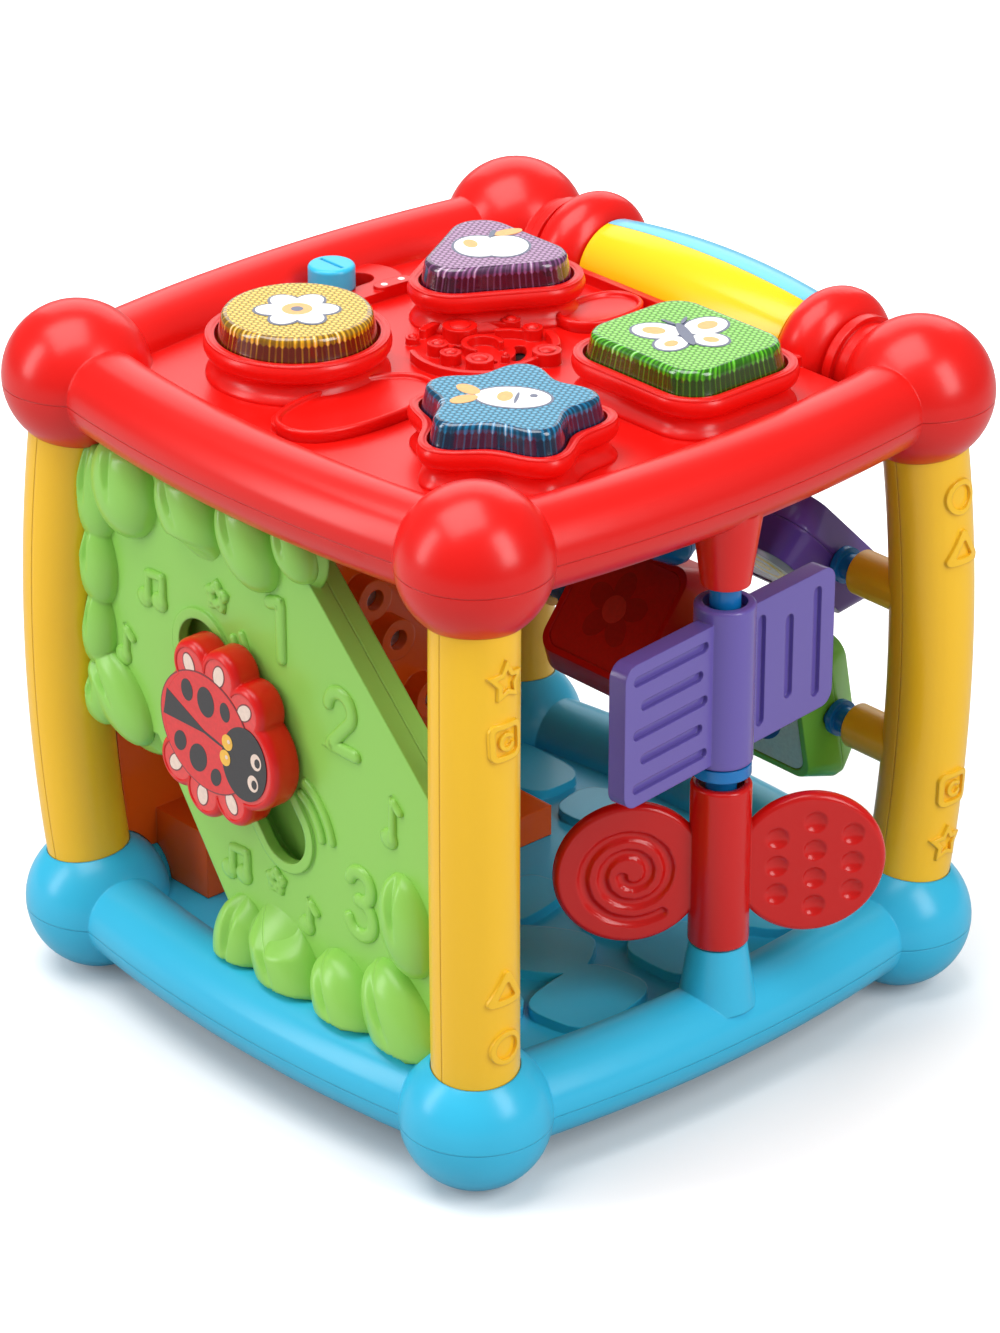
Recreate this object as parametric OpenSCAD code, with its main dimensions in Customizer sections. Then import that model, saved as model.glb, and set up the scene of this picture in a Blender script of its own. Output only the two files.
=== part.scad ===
// Activity cube: a square frame of corner balls, bowed rims and posts that carries a toy on each face.
// Millimetres. X to the flipper face, -Y to the slider face, +Y to the tile face, Z up.

/* [Frame] */
// Distance between neighbouring corner ball centres
pitch = 164; // [156:1:176]
// Radius of the corner balls
ball_r = 21; // [19:0.5:23]
// Radius of the rim tubes
rim_r = 12.3; // [11:0.1:13.5]
// Outward bow of a rim at its middle
rim_bow = 8; // [5:0.5:9]
// Radius of the posts
post_r = 12; // [10:0.1:12.5]
// Outward bow of a post at its middle
post_bow = 6; // [3:0.5:7]
// Wall of the moulded shells
wall = 2.4; // [1.8:0.1:2.8]
// Drop of each parting plane below the ball centres
seam_drop = 1; // [0:0.1:2]
// Depth of a post in its ball, above the ball centre
post_seat = 15; // [14:0.5:16]
// Height of the spigot that a post sits on, above the ball centre
spigot_h = 30; // [25:1:36]
// Radius of the flat foot under each ball
foot_r = 5; // [4:0.5:7]
// Clearance between fixed pieces
gap = 0.2; // [0.1:0.05:0.3]
// Clearance of shafts in their bores
run = 0.05; // [0.02:0.01:0.09]
// Clearance round pieces that slide or press
free = 0.4; // [0.3:0.05:0.6]

/* [Base] */
// Rise of the paving stones above the floor
stone_h = 3; // [1.5:0.5:4]
// Height of the cone that carries the flipper shaft, above the rim centre
cone_h = 26; // [22:1:30]
// Radius at the tip of the lower cone
cone_r = 8; // [7:0.5:9]

/* [Top] */
// Height of the top plate above the ball centres
plate_rise = 3; // [2:0.5:5]
// Drop of the tray underside below the ball centres
tray_drop = 11; // [10:0.5:12]
// Y of the rear wall of the top housing
rear_y = 64.2; // [62:0.2:64.4]
// Rise of the rear lip above the top plate
lip_rise = 3; // [1:0.5:4]
// Length of the cone above the flipper shaft, below the rim centre
drop_cone_h = 29; // [24:1:31]
// Radius at the tip of the upper cone
drop_cone_r = 6.8; // [6.2:0.1:8]

/* [Buttons] */
// Radius of the round button at its foot
button_r = 22.4; // [20:0.2:24]
// Height of a cap above the top of its collar
cap_rise = 6.3; // [4:0.5:8]
// Size of a cap's top over its foot
cap_taper = 0.925; // [0.85:0.005:0.97]
// Height of the collars above the plate
collar_h = 11.5; // [9:0.5:13]
// Height of the collar lip
collar_lip = 4; // [3:0.5:5]
// Overhang of the lip round a cap
lip_over = 3.1; // [2:0.1:4]
// Height of the flared step under the lip
collar_step = 1.5; // [1:0.1:3]
// Press travel of a button
press = 2.2; // [1:0.1:2.6]
// Wall of the translucent caps
cap_wall = 1.6; // [1:0.1:2]
// Size of the triangle, centre to a corner arc's centre
tri_d = 13.6; // [12:0.2:15]
// Corner radius of the triangle at its foot
tri_r = 10; // [8:0.2:11]
// Half width of the square button between corner arc centres
sq_x = 14.4; // [12:0.2:16]
// Half depth of the square button between corner arc centres
sq_y = 10.8; // [9:0.2:14]
// Corner radius of the square at its foot
sq_r = 9.6; // [8:0.2:11]
// Tip radius of the star at its foot
star_tip = 26; // [24:0.2:27]
// Notch radius of the star at its foot
star_notch = 19.6; // [18:0.2:21]

/* [Slide knob] */
// Radius of the knob
knob_r = 6.8; // [5:0.2:7.6]
// Height of the knob above its pad
knob_h = 7.3; // [5:0.5:9]
// Travel of the knob to each side
knob_travel = 10; // [6:0.5:12]
// Rise of the pad above the plate
pad_rise = 2.7; // [1.5:0.1:4]

/* [Roller] */
// Radius of the barrel at its middle
roller_r = 17; // [15:0.2:17.4]
// Radius of the barrel near its ends
roller_end_r = 14.2; // [12.5:0.2:15]
// Length of the barrel
roller_len = 80; // [70:1:84]
// Turn of the roller's split plane at rest
roller_turn = 100; // [60:1:120]
// Radius of the lugs that hold the roller
lug_r = 19.8; // [19:0.1:20.6]
// Half thickness of a lug's rounded disc
lug_t = 8.6; // [7.5:0.1:9]
// Radius of the neck between a lug and its ball
neck_r = 13.2; // [12.5:0.1:14]
// Centre of each lug from the middle
lug_x = 54; // [52:0.5:56]
// Radius of the roller axle
axle_r = 2.5; // [2:0.1:3]

/* [Flippers] */
// X of the flipper shaft
flip_x = 90.5; // [88:0.5:92]
// Radius of the flipper shaft
shaft_r = 4.3; // [3.5:0.1:5]
// Radius of the flipper hubs
hub_r = 8.5; // [8:0.1:9]
// Length of the purple hub
paddle_hub_h = 47.4; // [44:0.2:47.8]
// Reach of a paddle from the shaft
paddle_reach = 44; // [36:1:48]
// Height of a paddle
paddle_h = 42; // [34:1:44]
// Thickness of the paddles
paddle_t = 5.6; // [5:0.2:7]
// Turn of the paddles at rest
paddle_turn = 6; // [-30:1:30]
// Length of the red hub
disc_hub_h = 49; // [46:0.5:51]
// Radius of the red discs
disc_r = 21.3; // [18:0.1:22]
// Centre of a disc from the shaft
disc_reach = 24.8; // [23:0.1:26]
// Thickness of the discs
disc_t = 6; // [5:0.2:7]
// Turn of the discs at rest
disc_turn = -35; // [-60:1:60]
// Radius of the collar between the flippers
collar_r = 8.2; // [7:0.1:8.6]
// Thickness of that collar
collar_t = 3.5; // [2.5:0.5:4]
// Depth of the grooves and slots
groove = 1.4; // [0.8:0.1:1.8]

/* [Tiles] */
// Width of a tile
tile_w = 50; // [44:1:52]
// Height of a tile
tile_h = 47; // [40:0.5:48]
// Thickness of a tile
tile_t = 20; // [18:0.5:22]
// Edge draft of a tile half
tile_draft = 4; // [2:0.5:5]
// Corner radius of a tile
tile_c = 8; // [6:0.5:10]
// Centre of a tile from the middle
tile_x = 30; // [28:0.5:31]
// Height of the lower tile shaft
tile_z_low = 74.5; // [70:0.5:76]
// Height of the upper tile shaft
tile_z_up = 123; // [121.5:0.5:126]
// Radius of the tile shafts
tile_shaft_r = 4; // [3:0.1:4.5]
// Radius of the stubs that hold the tile shafts
stub_r = 6.7; // [6:0.1:7.5]
// Inner end of the stubs
stub_x = 63; // [60:0.5:66]
// Depth of the label recess
label_d = 0.8; // [0.4:0.1:1.2]

/* [Slider panel] */
// Y of the slider panel's front face
panel_y = 86; // [84:0.5:87]
// Thickness of each half of the panel
panel_t = 5.5; // [5:0.1:6]
// Width of the slot
slot_w = 18.6; // [16:0.2:20]
// Length of the slot between its end centres
slot_len = 54.5; // [50:0.5:56]
// Slope of the slot below the horizontal
slot_slope = 51.5; // [40:0.5:60]
// Place of the slider along the slot
slider_at = 22.1; // [18:0.1:30]
// Thickness of the slider's body
slider_t = 9; // [7:0.5:11]
// Radius of the slider's body
slider_r = 20.5; // [18:0.5:21]
// Radius of the slider's head
head_r = 15; // [13:0.5:15.5]
// Centre of the head from the middle of the body
head_x = 14; // [12:0.5:14.5]
// Radius of the slider's feet
slider_foot = 8; // [7:0.1:8.2]
// Centre of a foot from the middle of the body
foot_at = 19.1; // [18:0.1:19.2]
// Thickness of the slider's rear plate
rear_t = 2; // [1.5:0.1:2.4]
// Width of the raised edge round the slot
edge_w = 3; // [1.5:0.1:4]
// Rise of the raised edge and of the moulded figures
figure_h = 1; // [0.6:0.1:1.1]

/* [Rear panel] */
// X of the rear panel's outer face
rear_x = 87; // [85:0.5:88]
// Thickness of each half of the rear panel
rear_half = 4; // [3:0.5:5]
// Height of the inner housing above the floor
house_h = 21; // [16:1:24]
// Rise of the figures moulded on the posts
post_figure = 1; // [0.6:0.1:1.4]

/* [Power] */
// Radius of a cell
cell_r = 5.25; // [5:0.05:5.3]
// Length of a cell
cell_len = 44.5; // [42:0.5:45]
// Thickness of the circuit board
board_t = 1.6; // [1:0.1:2]
// Radius of the speaker
speaker_r = 14.5; // [12:0.5:15]
// Radius of the screws
screw_r = 1.5; // [1.2:0.1:1.7]

/* [Hidden] */

hc = pitch / 2;
z_lo = ball_r;
z_hi = ball_r + pitch;
z_mid = (z_lo + z_hi) / 2;
seam_lo = z_lo - seam_drop;
seam_hi = z_hi - seam_drop;
floor_z = seam_lo + wall;
base_plate_z = z_lo - 8;
plate_z = z_hi + plate_rise;
tray_z = z_hi - tray_drop;
tray_top = tray_z + wall;
big = 400;

// The row's origin is the middle of the box at rest, so the turned discs and tiles shift it.
disc_over = flip_x + (disc_reach + disc_r) * abs(sin(disc_turn)) + disc_t / 2 * cos(disc_turn);
box_half = hc + ball_r;
tile_tilt = [45, -3, 11, 142];
tile_over = hc + (tile_h / 2 - tile_draft + tile_t / 2) * sin(45);
frame_dx = -max(0, disc_over - box_half) / 2;
frame_dy = -max(0, tile_over - box_half) / 2;

// Corners as [x sign, y sign].
FRONT = [1, -1];
RIGHT = [1, 1];
LEFT = [-1, -1];
BACK = [-1, 1];
CORNERS = [FRONT, RIGHT, LEFT, BACK];

// Buttons as [x, y].
ROUND = [-37.5, -39.7];
TRI = [-36.5, 31];
SQUARE = [46.6, 26.6];
STAR = [45.6, -37.4];
PLACES = [ROUND, TRI, SQUARE, STAR];
grille_c = [-12.5, 7];
// Bare oval frames on the plate as [x, y, half width, half length].
OVALS = [[-9, -47, 10, 25], [-11, 49.4, 7, 11.8]];
knob_c = [-72, 2];

// Heights in the top housing.
board_z = tray_top + 0.6;
board_top = board_z + board_t;
collar_top = plate_z + collar_h;
well_z = collar_top - collar_lip;
cap_foot = well_z + press + free;
under = plate_z - wall;
flange_top = under - 0.3;
plunger_z = board_top + 4.3;
dome_h = plunger_z - board_top - 0.3;
pad_top = plate_z + pad_rise;
lug_face = roller_len / 2 + free;
slot_r = knob_r - 2.4;
knob_edge = knob_c[0] + hc + rim_bow - rim_r;

// Flipper heights.
cone_top = z_lo + cone_h;
cone_low = z_hi - drop_cone_h;
collar_z = cone_top + 0.3 + disc_hub_h + 3;
paddle_z = collar_z + collar_t + 0.2;
paddle_mid = paddle_z + paddle_hub_h / 2 - 1;
disc_z = cone_top + 0.3 + disc_hub_h / 2 - 1.8;

// Slider panel.
slot_dir = [cos(slot_slope), -sin(slot_slope)];
slot_a = [-24.8, 122.2];
slot_b = slot_a + slot_len * slot_dir;
slider_c = slot_a + slider_at * slot_dir;
stem_r = slot_w / 2 - free;
slider_back = -panel_y - figure_h - 0.3;

// Battery box.
box_hx = 2 * cell_r + 1.4 + 1.5;
box_hy = cell_len / 2 + 4.4;
cell_z = tray_z - cell_r - 1.6;
door_z = cell_z - cell_r - 1.2;
door_t = 2.4;
box_wall = wall;
box_out_y = box_hy + box_wall;
door_boss_y = box_out_y + 2.6;

RED = [0.9, 0.12, 0.1];
SKY = [0.25, 0.72, 0.9];
BLUE = [0.1, 0.5, 0.8];
YELLOW = [1, 0.8, 0.15];
GREEN = [0.55, 0.82, 0.35];
ORANGE = [0.93, 0.4, 0.1];
PURPLE = [0.5, 0.42, 0.78];
STEEL = [0.75, 0.75, 0.77];
DARK = [0.15, 0.15, 0.17];
CREAM = [0.95, 0.9, 0.82];

module place() {
    translate([frame_dx, frame_dy, 0])
        children();
}

// A tube along a shallow arc: ends at +-half on Y, bowed to +X.
module bowed_tube(half, bow, r) {
    arc = (half * half + bow * bow) / (2 * bow);
    ang = asin(half / arc);
    translate([bow - arc, 0, 0])
        rotate([0, 0, -ang])
            rotate_extrude(angle = 2 * ang, $fn = 300)
                translate([arc, 0])
                    circle(r = r, $fn = 48);
}

module rim(turn, z, r) {
    rotate([0, 0, turn])
        translate([hc, 0, z])
            bowed_tube(hc, rim_bow, r);
}

module post_tube(s, r) {
    translate([s[0] * hc, s[1] * hc, z_mid])
        rotate([0, 0, atan2(s[1], s[0])])
            rotate([90, 0, 0])
                bowed_tube(hc, post_bow, r);
}

module balls(z, r) {
    for (s = CORNERS)
        translate([s[0] * hc, s[1] * hc, z])
            sphere(r = r, $fn = 64);
}

module slab(z0, z1) {
    translate([-big / 2, -big / 2, z0])
        cube([big, big, z1 - z0]);
}

// Balls and rims of one square, grown by g.
module square_frame(z, turns, g) {
    balls(z, ball_r + g);
    for (t = turns)
        rim(t, z, rim_r + g);
}

// What a panel between two posts is cut by.
module frame_cut(a, b, turn) {
    for (z = [z_lo, z_hi]) {
        rim(turn, z, rim_r + gap);
        for (s = [a, b])
            translate([s[0] * hc, s[1] * hc, z])
                sphere(r = ball_r + gap, $fn = 64);
    }
    post_tube(a, post_r + gap);
    post_tube(b, post_r + gap);
}

module bar(x0, x1, y0, y1, z0, z1) {
    translate([x0, y0, z0])
        cube([x1 - x0, y1 - y0, z1 - z0]);
}

module post_hole(s, z0, z1) {
    intersection() {
        post_tube(s, post_r + gap);
        slab(z0, z1);
    }
}

module spigot(s, z0, z1) {
    intersection() {
        post_tube(s, post_r - wall - gap);
        slab(z0, z1);
    }
}

// Round-cornered outline from corner centres given anticlockwise.
function lead(p, q) = atan2(p[0] - q[0], q[1] - p[1]);
function swing(a, b) = b - a - 360 * floor((b - a) / 360);
function round_pts(c, r, n) = [for (i = [0:len(c) - 1])
    let (a = lead(c[(i + len(c) - 1) % len(c)], c[i]), b = lead(c[i], c[(i + 1) % len(c)]))
        for (j = [0:n])
            let (t = a + swing(a, b) * j / n)
                c[i] + r * [cos(t), sin(t)]];
module round_poly(c, r) {
    polygon(round_pts(c, r, 20));
}

module round_rect(w, h, r) {
    x = w / 2 - r;
    y = h / 2 - r;
    polygon(round_pts([[x, -y], [x, y], [-x, y], [-x, -y]], r, 12));
}

module stadium(a, b, w) {
    polygon(round_pts([a, b], w / 2, w > 8 ? 28 : 10));
}

// A stroke of width w with round ends along the points p.
function arc_pts(c, r, a0, a1, n) = [for (i = [0:n])
    let (a = a0 + (a1 - a0) * i / n)
        c + r * [cos(a), sin(a)]];
function left_n(p, q) = [p[1] - q[1], q[0] - p[0]] / norm(q - p);
function beside(p, h) = [for (i = [0:len(p) - 1])
    let (a = i == 0 ? left_n(p[0], p[1]) : left_n(p[i - 1], p[i]),
         b = i == len(p) - 1 ? a : left_n(p[i], p[i + 1]),
         m = a + b)
        p[i] + 2 * h * m / (m * m)];
function cap_pts(c, v, h) = [for (j = [1:7])
    let (a = atan2(v[1], v[0]) - 22.5 * j)
        c + h * [cos(a), sin(a)]];
module stroke(p, w) {
    e = len(p) - 1;
    r = beside(p, -w / 2);
    polygon(concat(beside(p, w / 2), cap_pts(p[e], left_n(p[e - 1], p[e]), w / 2),
        [for (i = [0:e]) r[e - i]], cap_pts(p[0], -left_n(p[0], p[1]), w / 2)));
}

module ellipse(a, b) {
    polygon([for (i = [0:59]) [a * cos(6 * i), b * sin(6 * i)]]);
}

// Outline of one button, grown by g.
module button_shape(k, g) {
    if (k == 0)
        circle(r = button_r + g, $fn = 96);
    if (k == 1)
        round_poly([for (a = [30, 150, 270]) tri_d * [cos(a), sin(a)]], tri_r + g);
    if (k == 2)
        round_poly([[sq_x, -sq_y], [sq_x, sq_y], [-sq_x, sq_y], [-sq_x, -sq_y]], sq_r + g);
    if (k == 3)
        polygon([for (i = [0:79])
            let (a = i * 4.5, w = (1 + cos(5 * (a - 54))) / 2)
                (star_notch + (star_tip - star_notch) * pow(w, 1.15) + g) * [cos(a), sin(a)]]);
}

module at_button(k) {
    translate([PLACES[k][0], PLACES[k][1], 0])
        children();
}

// Paving stones as [x, y, half length, half width, turn].
STONES = [[38, -52, 20, 14, 20], [62, -22, 13, 17, 10], [34, -14, 15, 13, 35], [60, 16, 14, 13, 0],
    [34, 22, 13, 15, 15], [56, 50, 16, 14, 30], [20, 54, 15, 13, -15], [2, -42, 13, 17, 0],
    [8, 2, 9, 14, 10], [-22, -58, 9, 12, 0], [-14, 58, 15, 11, 10], [-52, 58, 17, 11, 0]];
module stone(s) {
    translate([s[0], s[1]])
        rotate([0, 0, s[4]])
            polygon([for (i = [0:23])
                let (a = i * 15, e = 0.62)
                    [s[2] * sign(cos(a)) * pow(abs(cos(a)), e),
                     s[3] * sign(sin(a)) * pow(abs(sin(a)), e)]]);
}

BASE_SCREWS = [[60, -60], [60, 38], [-60, -40], [-30, 66]];
TOP_SCREWS = [[66, -64], [66, 54], [-66, -64], [-66, 54]];

module screw_up(x, y, z, len) {
    translate([x, y, z - 1.6])
        cylinder(r = 2 * screw_r, h = 1.6, $fn = 32);
    translate([x, y, z - 0.1])
        cylinder(r = screw_r, h = len + 0.1, $fn = 32);
}

module base_lower_shell() {
    color(SKY)
    place()
    difference() {
        union() {
            intersection() {
                difference() {
                    square_frame(z_lo, [0, 90, 180, 270], 0);
                    square_frame(z_lo, [0, 90, 180, 270], -wall);
                }
                slab(-1, seam_lo - gap / 2);
            }
            bar(-hc - 1, hc + 1, -hc - 1, hc + 1, base_plate_z, base_plate_z + wall);
            for (s = CORNERS)
                translate([s[0] * hc, s[1] * hc, 0])
                    cylinder(r = foot_r, h = wall, $fn = 48);
        }
        for (p = BASE_SCREWS)
            translate([p[0], p[1], base_plate_z - 1])
                cylinder(r = screw_r + gap, h = wall + 2, $fn = 32);
    }
}

module base_upper_shell() {
    color(SKY)
    place()
    difference() {
        union() {
            intersection() {
                difference() {
                    square_frame(z_lo, [0, 90, 180, 270], 0);
                    square_frame(z_lo, [0, 90, 180, 270], -wall);
                }
                slab(seam_lo, z_mid);
            }
            bar(-hc - 1, hc + 1, -hc - 1, hc + 1, seam_lo, floor_z);
            for (s = STONES)
                translate([0, 0, floor_z - 0.1])
                    linear_extrude(stone_h + 0.1)
                        stone(s);
            for (s = CORNERS)
                spigot(s, seam_lo, z_lo + spigot_h);
            translate([flip_x, 0, z_lo + 7])
                cylinder(r1 = rim_r - 1.3, r2 = cone_r, h = cone_h - 7, $fn = 64);
            for (p = BASE_SCREWS)
                translate([p[0], p[1], base_plate_z + wall + gap])
                    cylinder(r = screw_r + 2.2, h = floor_z - base_plate_z - wall - gap, $fn = 32);
        }
        for (s = CORNERS)
            difference() {
                post_hole(s, z_lo + post_seat - gap, z_mid);
                spigot(s, seam_lo, z_lo + spigot_h);
            }
        translate([flip_x, 0, cone_top - 12])
            cylinder(r = shaft_r + run, h = 13, $fn = 64);
        for (p = BASE_SCREWS)
            translate([p[0], p[1], base_plate_z])
                cylinder(r = screw_r + run, h = floor_z - base_plate_z - 1, $fn = 32);
    }
}

module base_screws() {
    color(STEEL)
    place()
    for (p = BASE_SCREWS)
        screw_up(p[0], p[1], base_plate_z, floor_z - base_plate_z - 1.6);
}

// One half of a post: outer is the half away from the middle in X.
module post_half(s, outer) {
    cut_bow = post_bow / sqrt(2);
    arc = (hc * hc + cut_bow * cut_bow) / (2 * cut_bow);
    intersection() {
        difference() {
            post_tube(s, post_r);
            post_tube(s, post_r - wall);
        }
        slab(z_lo + post_seat, z_hi - post_seat);
        mirror([s[0] < 0 ? 1 : 0, 0, 0])
            translate([0, s[1] * hc + 30, z_mid])
                rotate([90, 0, 0])
                    linear_extrude(60)
                        if (outer)
                            difference() {
                                translate([hc, -hc])
                                    square([60, pitch]);
                                translate([hc + cut_bow - arc, 0])
                                    circle(r = arc + gap / 2, $fn = 900);
                            }
                        else
                            intersection() {
                                translate([hc - 60, -hc])
                                    square([120, pitch]);
                                translate([hc + cut_bow - arc, 0])
                                    circle(r = arc - gap / 2, $fn = 900);
                            }
    }
}

// Figures moulded on the outer halves, drawn round the point at height z.
module post_figure_shape(k, c) {
    if (k == 0)
        star_band(c, 6, 1.5);
    if (k == 1)
        translate(c) {
            difference() {
                round_rect(10.6, 10.6, 2.4);
                round_rect(7.4, 7.4, 1.2);
            }
            stroke(arc_pts([0, 0], 2, 40, 330, 20), 1.2);
        }
    if (k == 2)
        translate(c)
            difference() {
                round_poly([for (a = [90, 210, 330]) 5 * [cos(a), sin(a)]], 1.4);
                round_poly([for (a = [90, 210, 330]) 2.6 * [cos(a), sin(a)]], 0.6);
            }
    if (k == 3)
        translate(c)
            difference() {
                circle(r = 5.2, $fn = 48);
                circle(r = 3.6, $fn = 48);
            }
}

module figures(s, order) {
    bow_y = post_bow / sqrt(2);
    intersection() {
        difference() {
            post_tube(s, post_r + post_figure);
            post_tube(s, post_r - wall / 2);
        }
        translate([s[0] > 0 ? hc + bow_y : -hc - bow_y - 40, 0, 0])
            rotate([90, 0, 90])
                linear_extrude(40)
                    for (i = [0:3])
                        let (h = [54, 37.6, -36.4, -54][i])
                            post_figure_shape(order[i],
                                [s[1] * (hc + bow_y * (1 - h * h / hc / hc)), z_mid + h]);
    }
}

module post_outer(s, order) {
    union() {
        post_half(s, true);
        figures(s, order);
    }
}

// A post's inner half with the two stubs for the tile shafts.
module stub_half(s) {
    difference() {
        union() {
            post_half(s, false);
            difference() {
                for (z = [tile_z_low, tile_z_up])
                    translate([s[0] * stub_x, hc, z])
                        rotate([0, s[0] * 90, 0])
                            cylinder(r = stub_r, h = hc - stub_x + 2, $fn = 64);
                post_tube(s, post_r - wall / 2);
            }
        }
        for (z = [tile_z_low, tile_z_up])
            translate([s[0] * (stub_x - 1), hc, z])
                rotate([0, s[0] * 90, 0])
                    cylinder(r = tile_shaft_r + run, h = 20, $fn = 64);
    }
}

module front_post_outer() {
    color(YELLOW)
    place()
    post_outer(FRONT, [0, 1, 2, 3]);
}

module front_post_inner() {
    color(YELLOW)
    place()
    post_half(FRONT, false);
}

module right_post_outer() {
    color(YELLOW)
    place()
    post_outer(RIGHT, [3, 2, 1, 0]);
}

module right_post_inner() {
    color(YELLOW)
    place()
    stub_half(RIGHT);
}

module left_post_outer() {
    color(YELLOW)
    place()
    post_outer(LEFT, [3, 2, 1, 0]);
}

module left_post_inner() {
    color(YELLOW)
    place()
    post_half(LEFT, false);
}

module back_post_outer() {
    color(YELLOW)
    place()
    post_outer(BACK, [0, 1, 2, 3]);
}

module back_post_inner() {
    color(YELLOW)
    place()
    stub_half(BACK);
}

// A lug: a disc with a round rim, a neck into the ball and a ridge round the neck, grown by g.
module lug(x, g) {
    at = lug_face + lug_t + 0.1;
    translate([0, hc, z_hi])
        rotate([0, x * 90, 0]) {
            translate([0, 0, at]) {
                rotate_extrude($fn = 96)
                    translate([lug_r - lug_t, 0])
                        circle(r = lug_t + g, $fn = 64);
                cylinder(r = lug_r - lug_t, h = 2 * (lug_t + g - 0.7), center = true, $fn = 64);
                cylinder(r = neck_r + g, h = hc - at, $fn = 64);
                if (g == 0)
                    translate([0, 0, lug_t + 1])
                        cylinder(r = neck_r + 1.6, h = 3, $fn = 64);
            }
        }
}

// Balls, three rims and the two roller lugs, grown by g.
module top_frame(g) {
    square_frame(z_hi, [0, 180, 270], g);
    for (x = [-1, 1])
        difference() {
            lug(x, g);
            bar(-lug_face - (g < 0 ? wall : 0), lug_face + (g < 0 ? wall : 0), 0, big, 0, big);
        }
}

module roller_room() {
    bar(-lug_face, lug_face, rear_y, hc + 60, z_hi - 60, z_hi + 60);
}

module axle_hole() {
    translate([-lug_x, hc, z_hi])
        rotate([0, 90, 0])
            cylinder(r = axle_r + run, h = 2 * lug_x, $fn = 48);
}

module lug_cores(z0, z1) {
    intersection() {
        for (x = [-1, 1])
            translate([x * lug_face, hc, z_hi])
                rotate([0, x * 90, 0])
                    cylinder(r = axle_r + 4, h = lug_x - 1 - lug_face, $fn = 48);
        slab(z0, z1);
    }
}

module top_lower_shell() {
    color(RED)
    place()
    difference() {
        union() {
            intersection() {
                difference() {
                    top_frame(0);
                    top_frame(-wall);
                }
                slab(z_mid, seam_hi - gap / 2);
            }
            bar(-hc - 1, hc + 1, -hc - 1, rear_y, tray_z, tray_top);
            bar(-hc, hc, rear_y - wall, rear_y, tray_z, seam_hi - gap / 2);
            lug_cores(z_mid, seam_hi - gap / 2);
            for (s = CORNERS)
                spigot(s, z_hi - spigot_h, seam_hi - gap / 2);
            translate([flip_x, 0, cone_low])
                cylinder(r1 = drop_cone_r, r2 = rim_r - 2.4, h = drop_cone_h - 7, $fn = 64);
            bar(-box_hx - box_wall, box_hx + box_wall, -box_out_y, box_out_y, door_z, tray_top);
            translate([0, door_boss_y, door_z])
                cylinder(r = screw_r + 2.4, h = tray_top - door_z, $fn = 32);
            for (x = [-66, 52], y = [-50, 42])
                translate([x, y, tray_top - 0.1])
                    cylinder(r = 3, h = board_z - tray_top + 0.1, $fn = 32);
        }
        roller_room();
        for (s = CORNERS)
            difference() {
                post_hole(s, z_mid, z_hi - post_seat + gap);
                spigot(s, z_hi - spigot_h, seam_hi);
            }
        translate([flip_x, 0, cone_low - 1])
            cylinder(r = shaft_r + run, h = 13, $fn = 64);
        bar(-box_hx, box_hx, -box_hy, box_hy, door_z - 1, tray_z);
        translate([0, door_boss_y, door_z - 1])
            cylinder(r = screw_r + run, h = 13, $fn = 32);
        for (p = TOP_SCREWS)
            translate([p[0], p[1], tray_z - 1])
                cylinder(r = screw_r + gap, h = wall + 2, $fn = 32);
        axle_hole();
    }
}

// Collar of one button: neck, flared step, overhanging lip, well and bore.
module collar(k) {
    for (f = [[well_z - under, 0.5], [plate_z - under + 2, 1.6], [plate_z - under + 0.9, 2.8]])
        translate([0, 0, under])
            linear_extrude(f[0])
                button_shape(k, f[1]);
    translate([0, 0, well_z - collar_step])
        linear_extrude(collar_step + 0.1)
            button_shape(k, 0.62 * lip_over);
    translate([0, 0, well_z])
        linear_extrude(collar_lip)
            button_shape(k, lip_over);
}

module collar_cut(k) {
    translate([0, 0, well_z])
        linear_extrude(collar_lip + 1)
            button_shape(k, 0.45);
    translate([0, 0, under - 1])
        linear_extrude(collar_h + wall + 2)
            button_shape(k, -2.9);
}

// Speaker grille: domed pegs as [x, y, radius, rise], joined by low walls, with sound slots between.
PEGS = [[-11.9, 1.2, 4.9, 5], [-6.8, 15.9, 2.7, 4.4], [1.7, 16.3, 2.9, 4.4], [17, 7.5, 4.1, 4.8],
    [8.9, -10.1, 3.9, 4.8], [-0.4, -12.5, 3, 4.4], [-7.6, -10.8, 3, 4.4], [-17.9, -11.1, 2, 3],
    [9.3, -0.9, 1.3, 3]];
module peg(p) {
    ring = 0.72 * p[2];
    ball = (ring * ring + 1) / 2;
    translate([p[0], p[1], plate_z - 0.1]) {
        cylinder(r = p[2], h = p[3] - 0.9, $fn = 40);
        intersection() {
            translate([0, 0, p[3] - ball + 0.1])
                sphere(r = ball, $fn = 40);
            translate([0, 0, 0.5])
                cylinder(r = 0.85 * ring, h = p[3], $fn = 40);
        }
    }
}

module grille() {
    for (p = PEGS)
        peg(p);
    translate([0, 0, plate_z - 0.1])
        linear_extrude(2.8) {
            stroke(concat(arc_pts([0, -1.6], 19.4, 242, 335, 20), [[17, 4.4]]), 1.7);
            stroke(arc_pts([-4.6, 5.6], 8.4, 197, 104, 14), 1.5);
            stroke([[-4.9, 8.9], [-2.6, 12], [1.3, 14.6]], 1.5);
            stroke(arc_pts([-0.6, -0.4], 5.2, 60, 292, 20), 1.7);
            stroke(arc_pts([0, 0], 19.6, 46, 72, 10), 2.4);
            stroke(arc_pts([0, 0], 20, 176, 198, 10), 2.4);
        }
}

module grille_slots() {
    for (t = [[10, 16, 64, 3], [8.4, 208, 232, 2.4], [7.7, 298, 332, 3], [13.8, 350, 366, 2.6]])
        translate([0, 0, under - 1])
            linear_extrude(wall + 2)
                stroke(arc_pts([0, 0], t[0], t[1], t[2], 12), t[3]);
}

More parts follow.
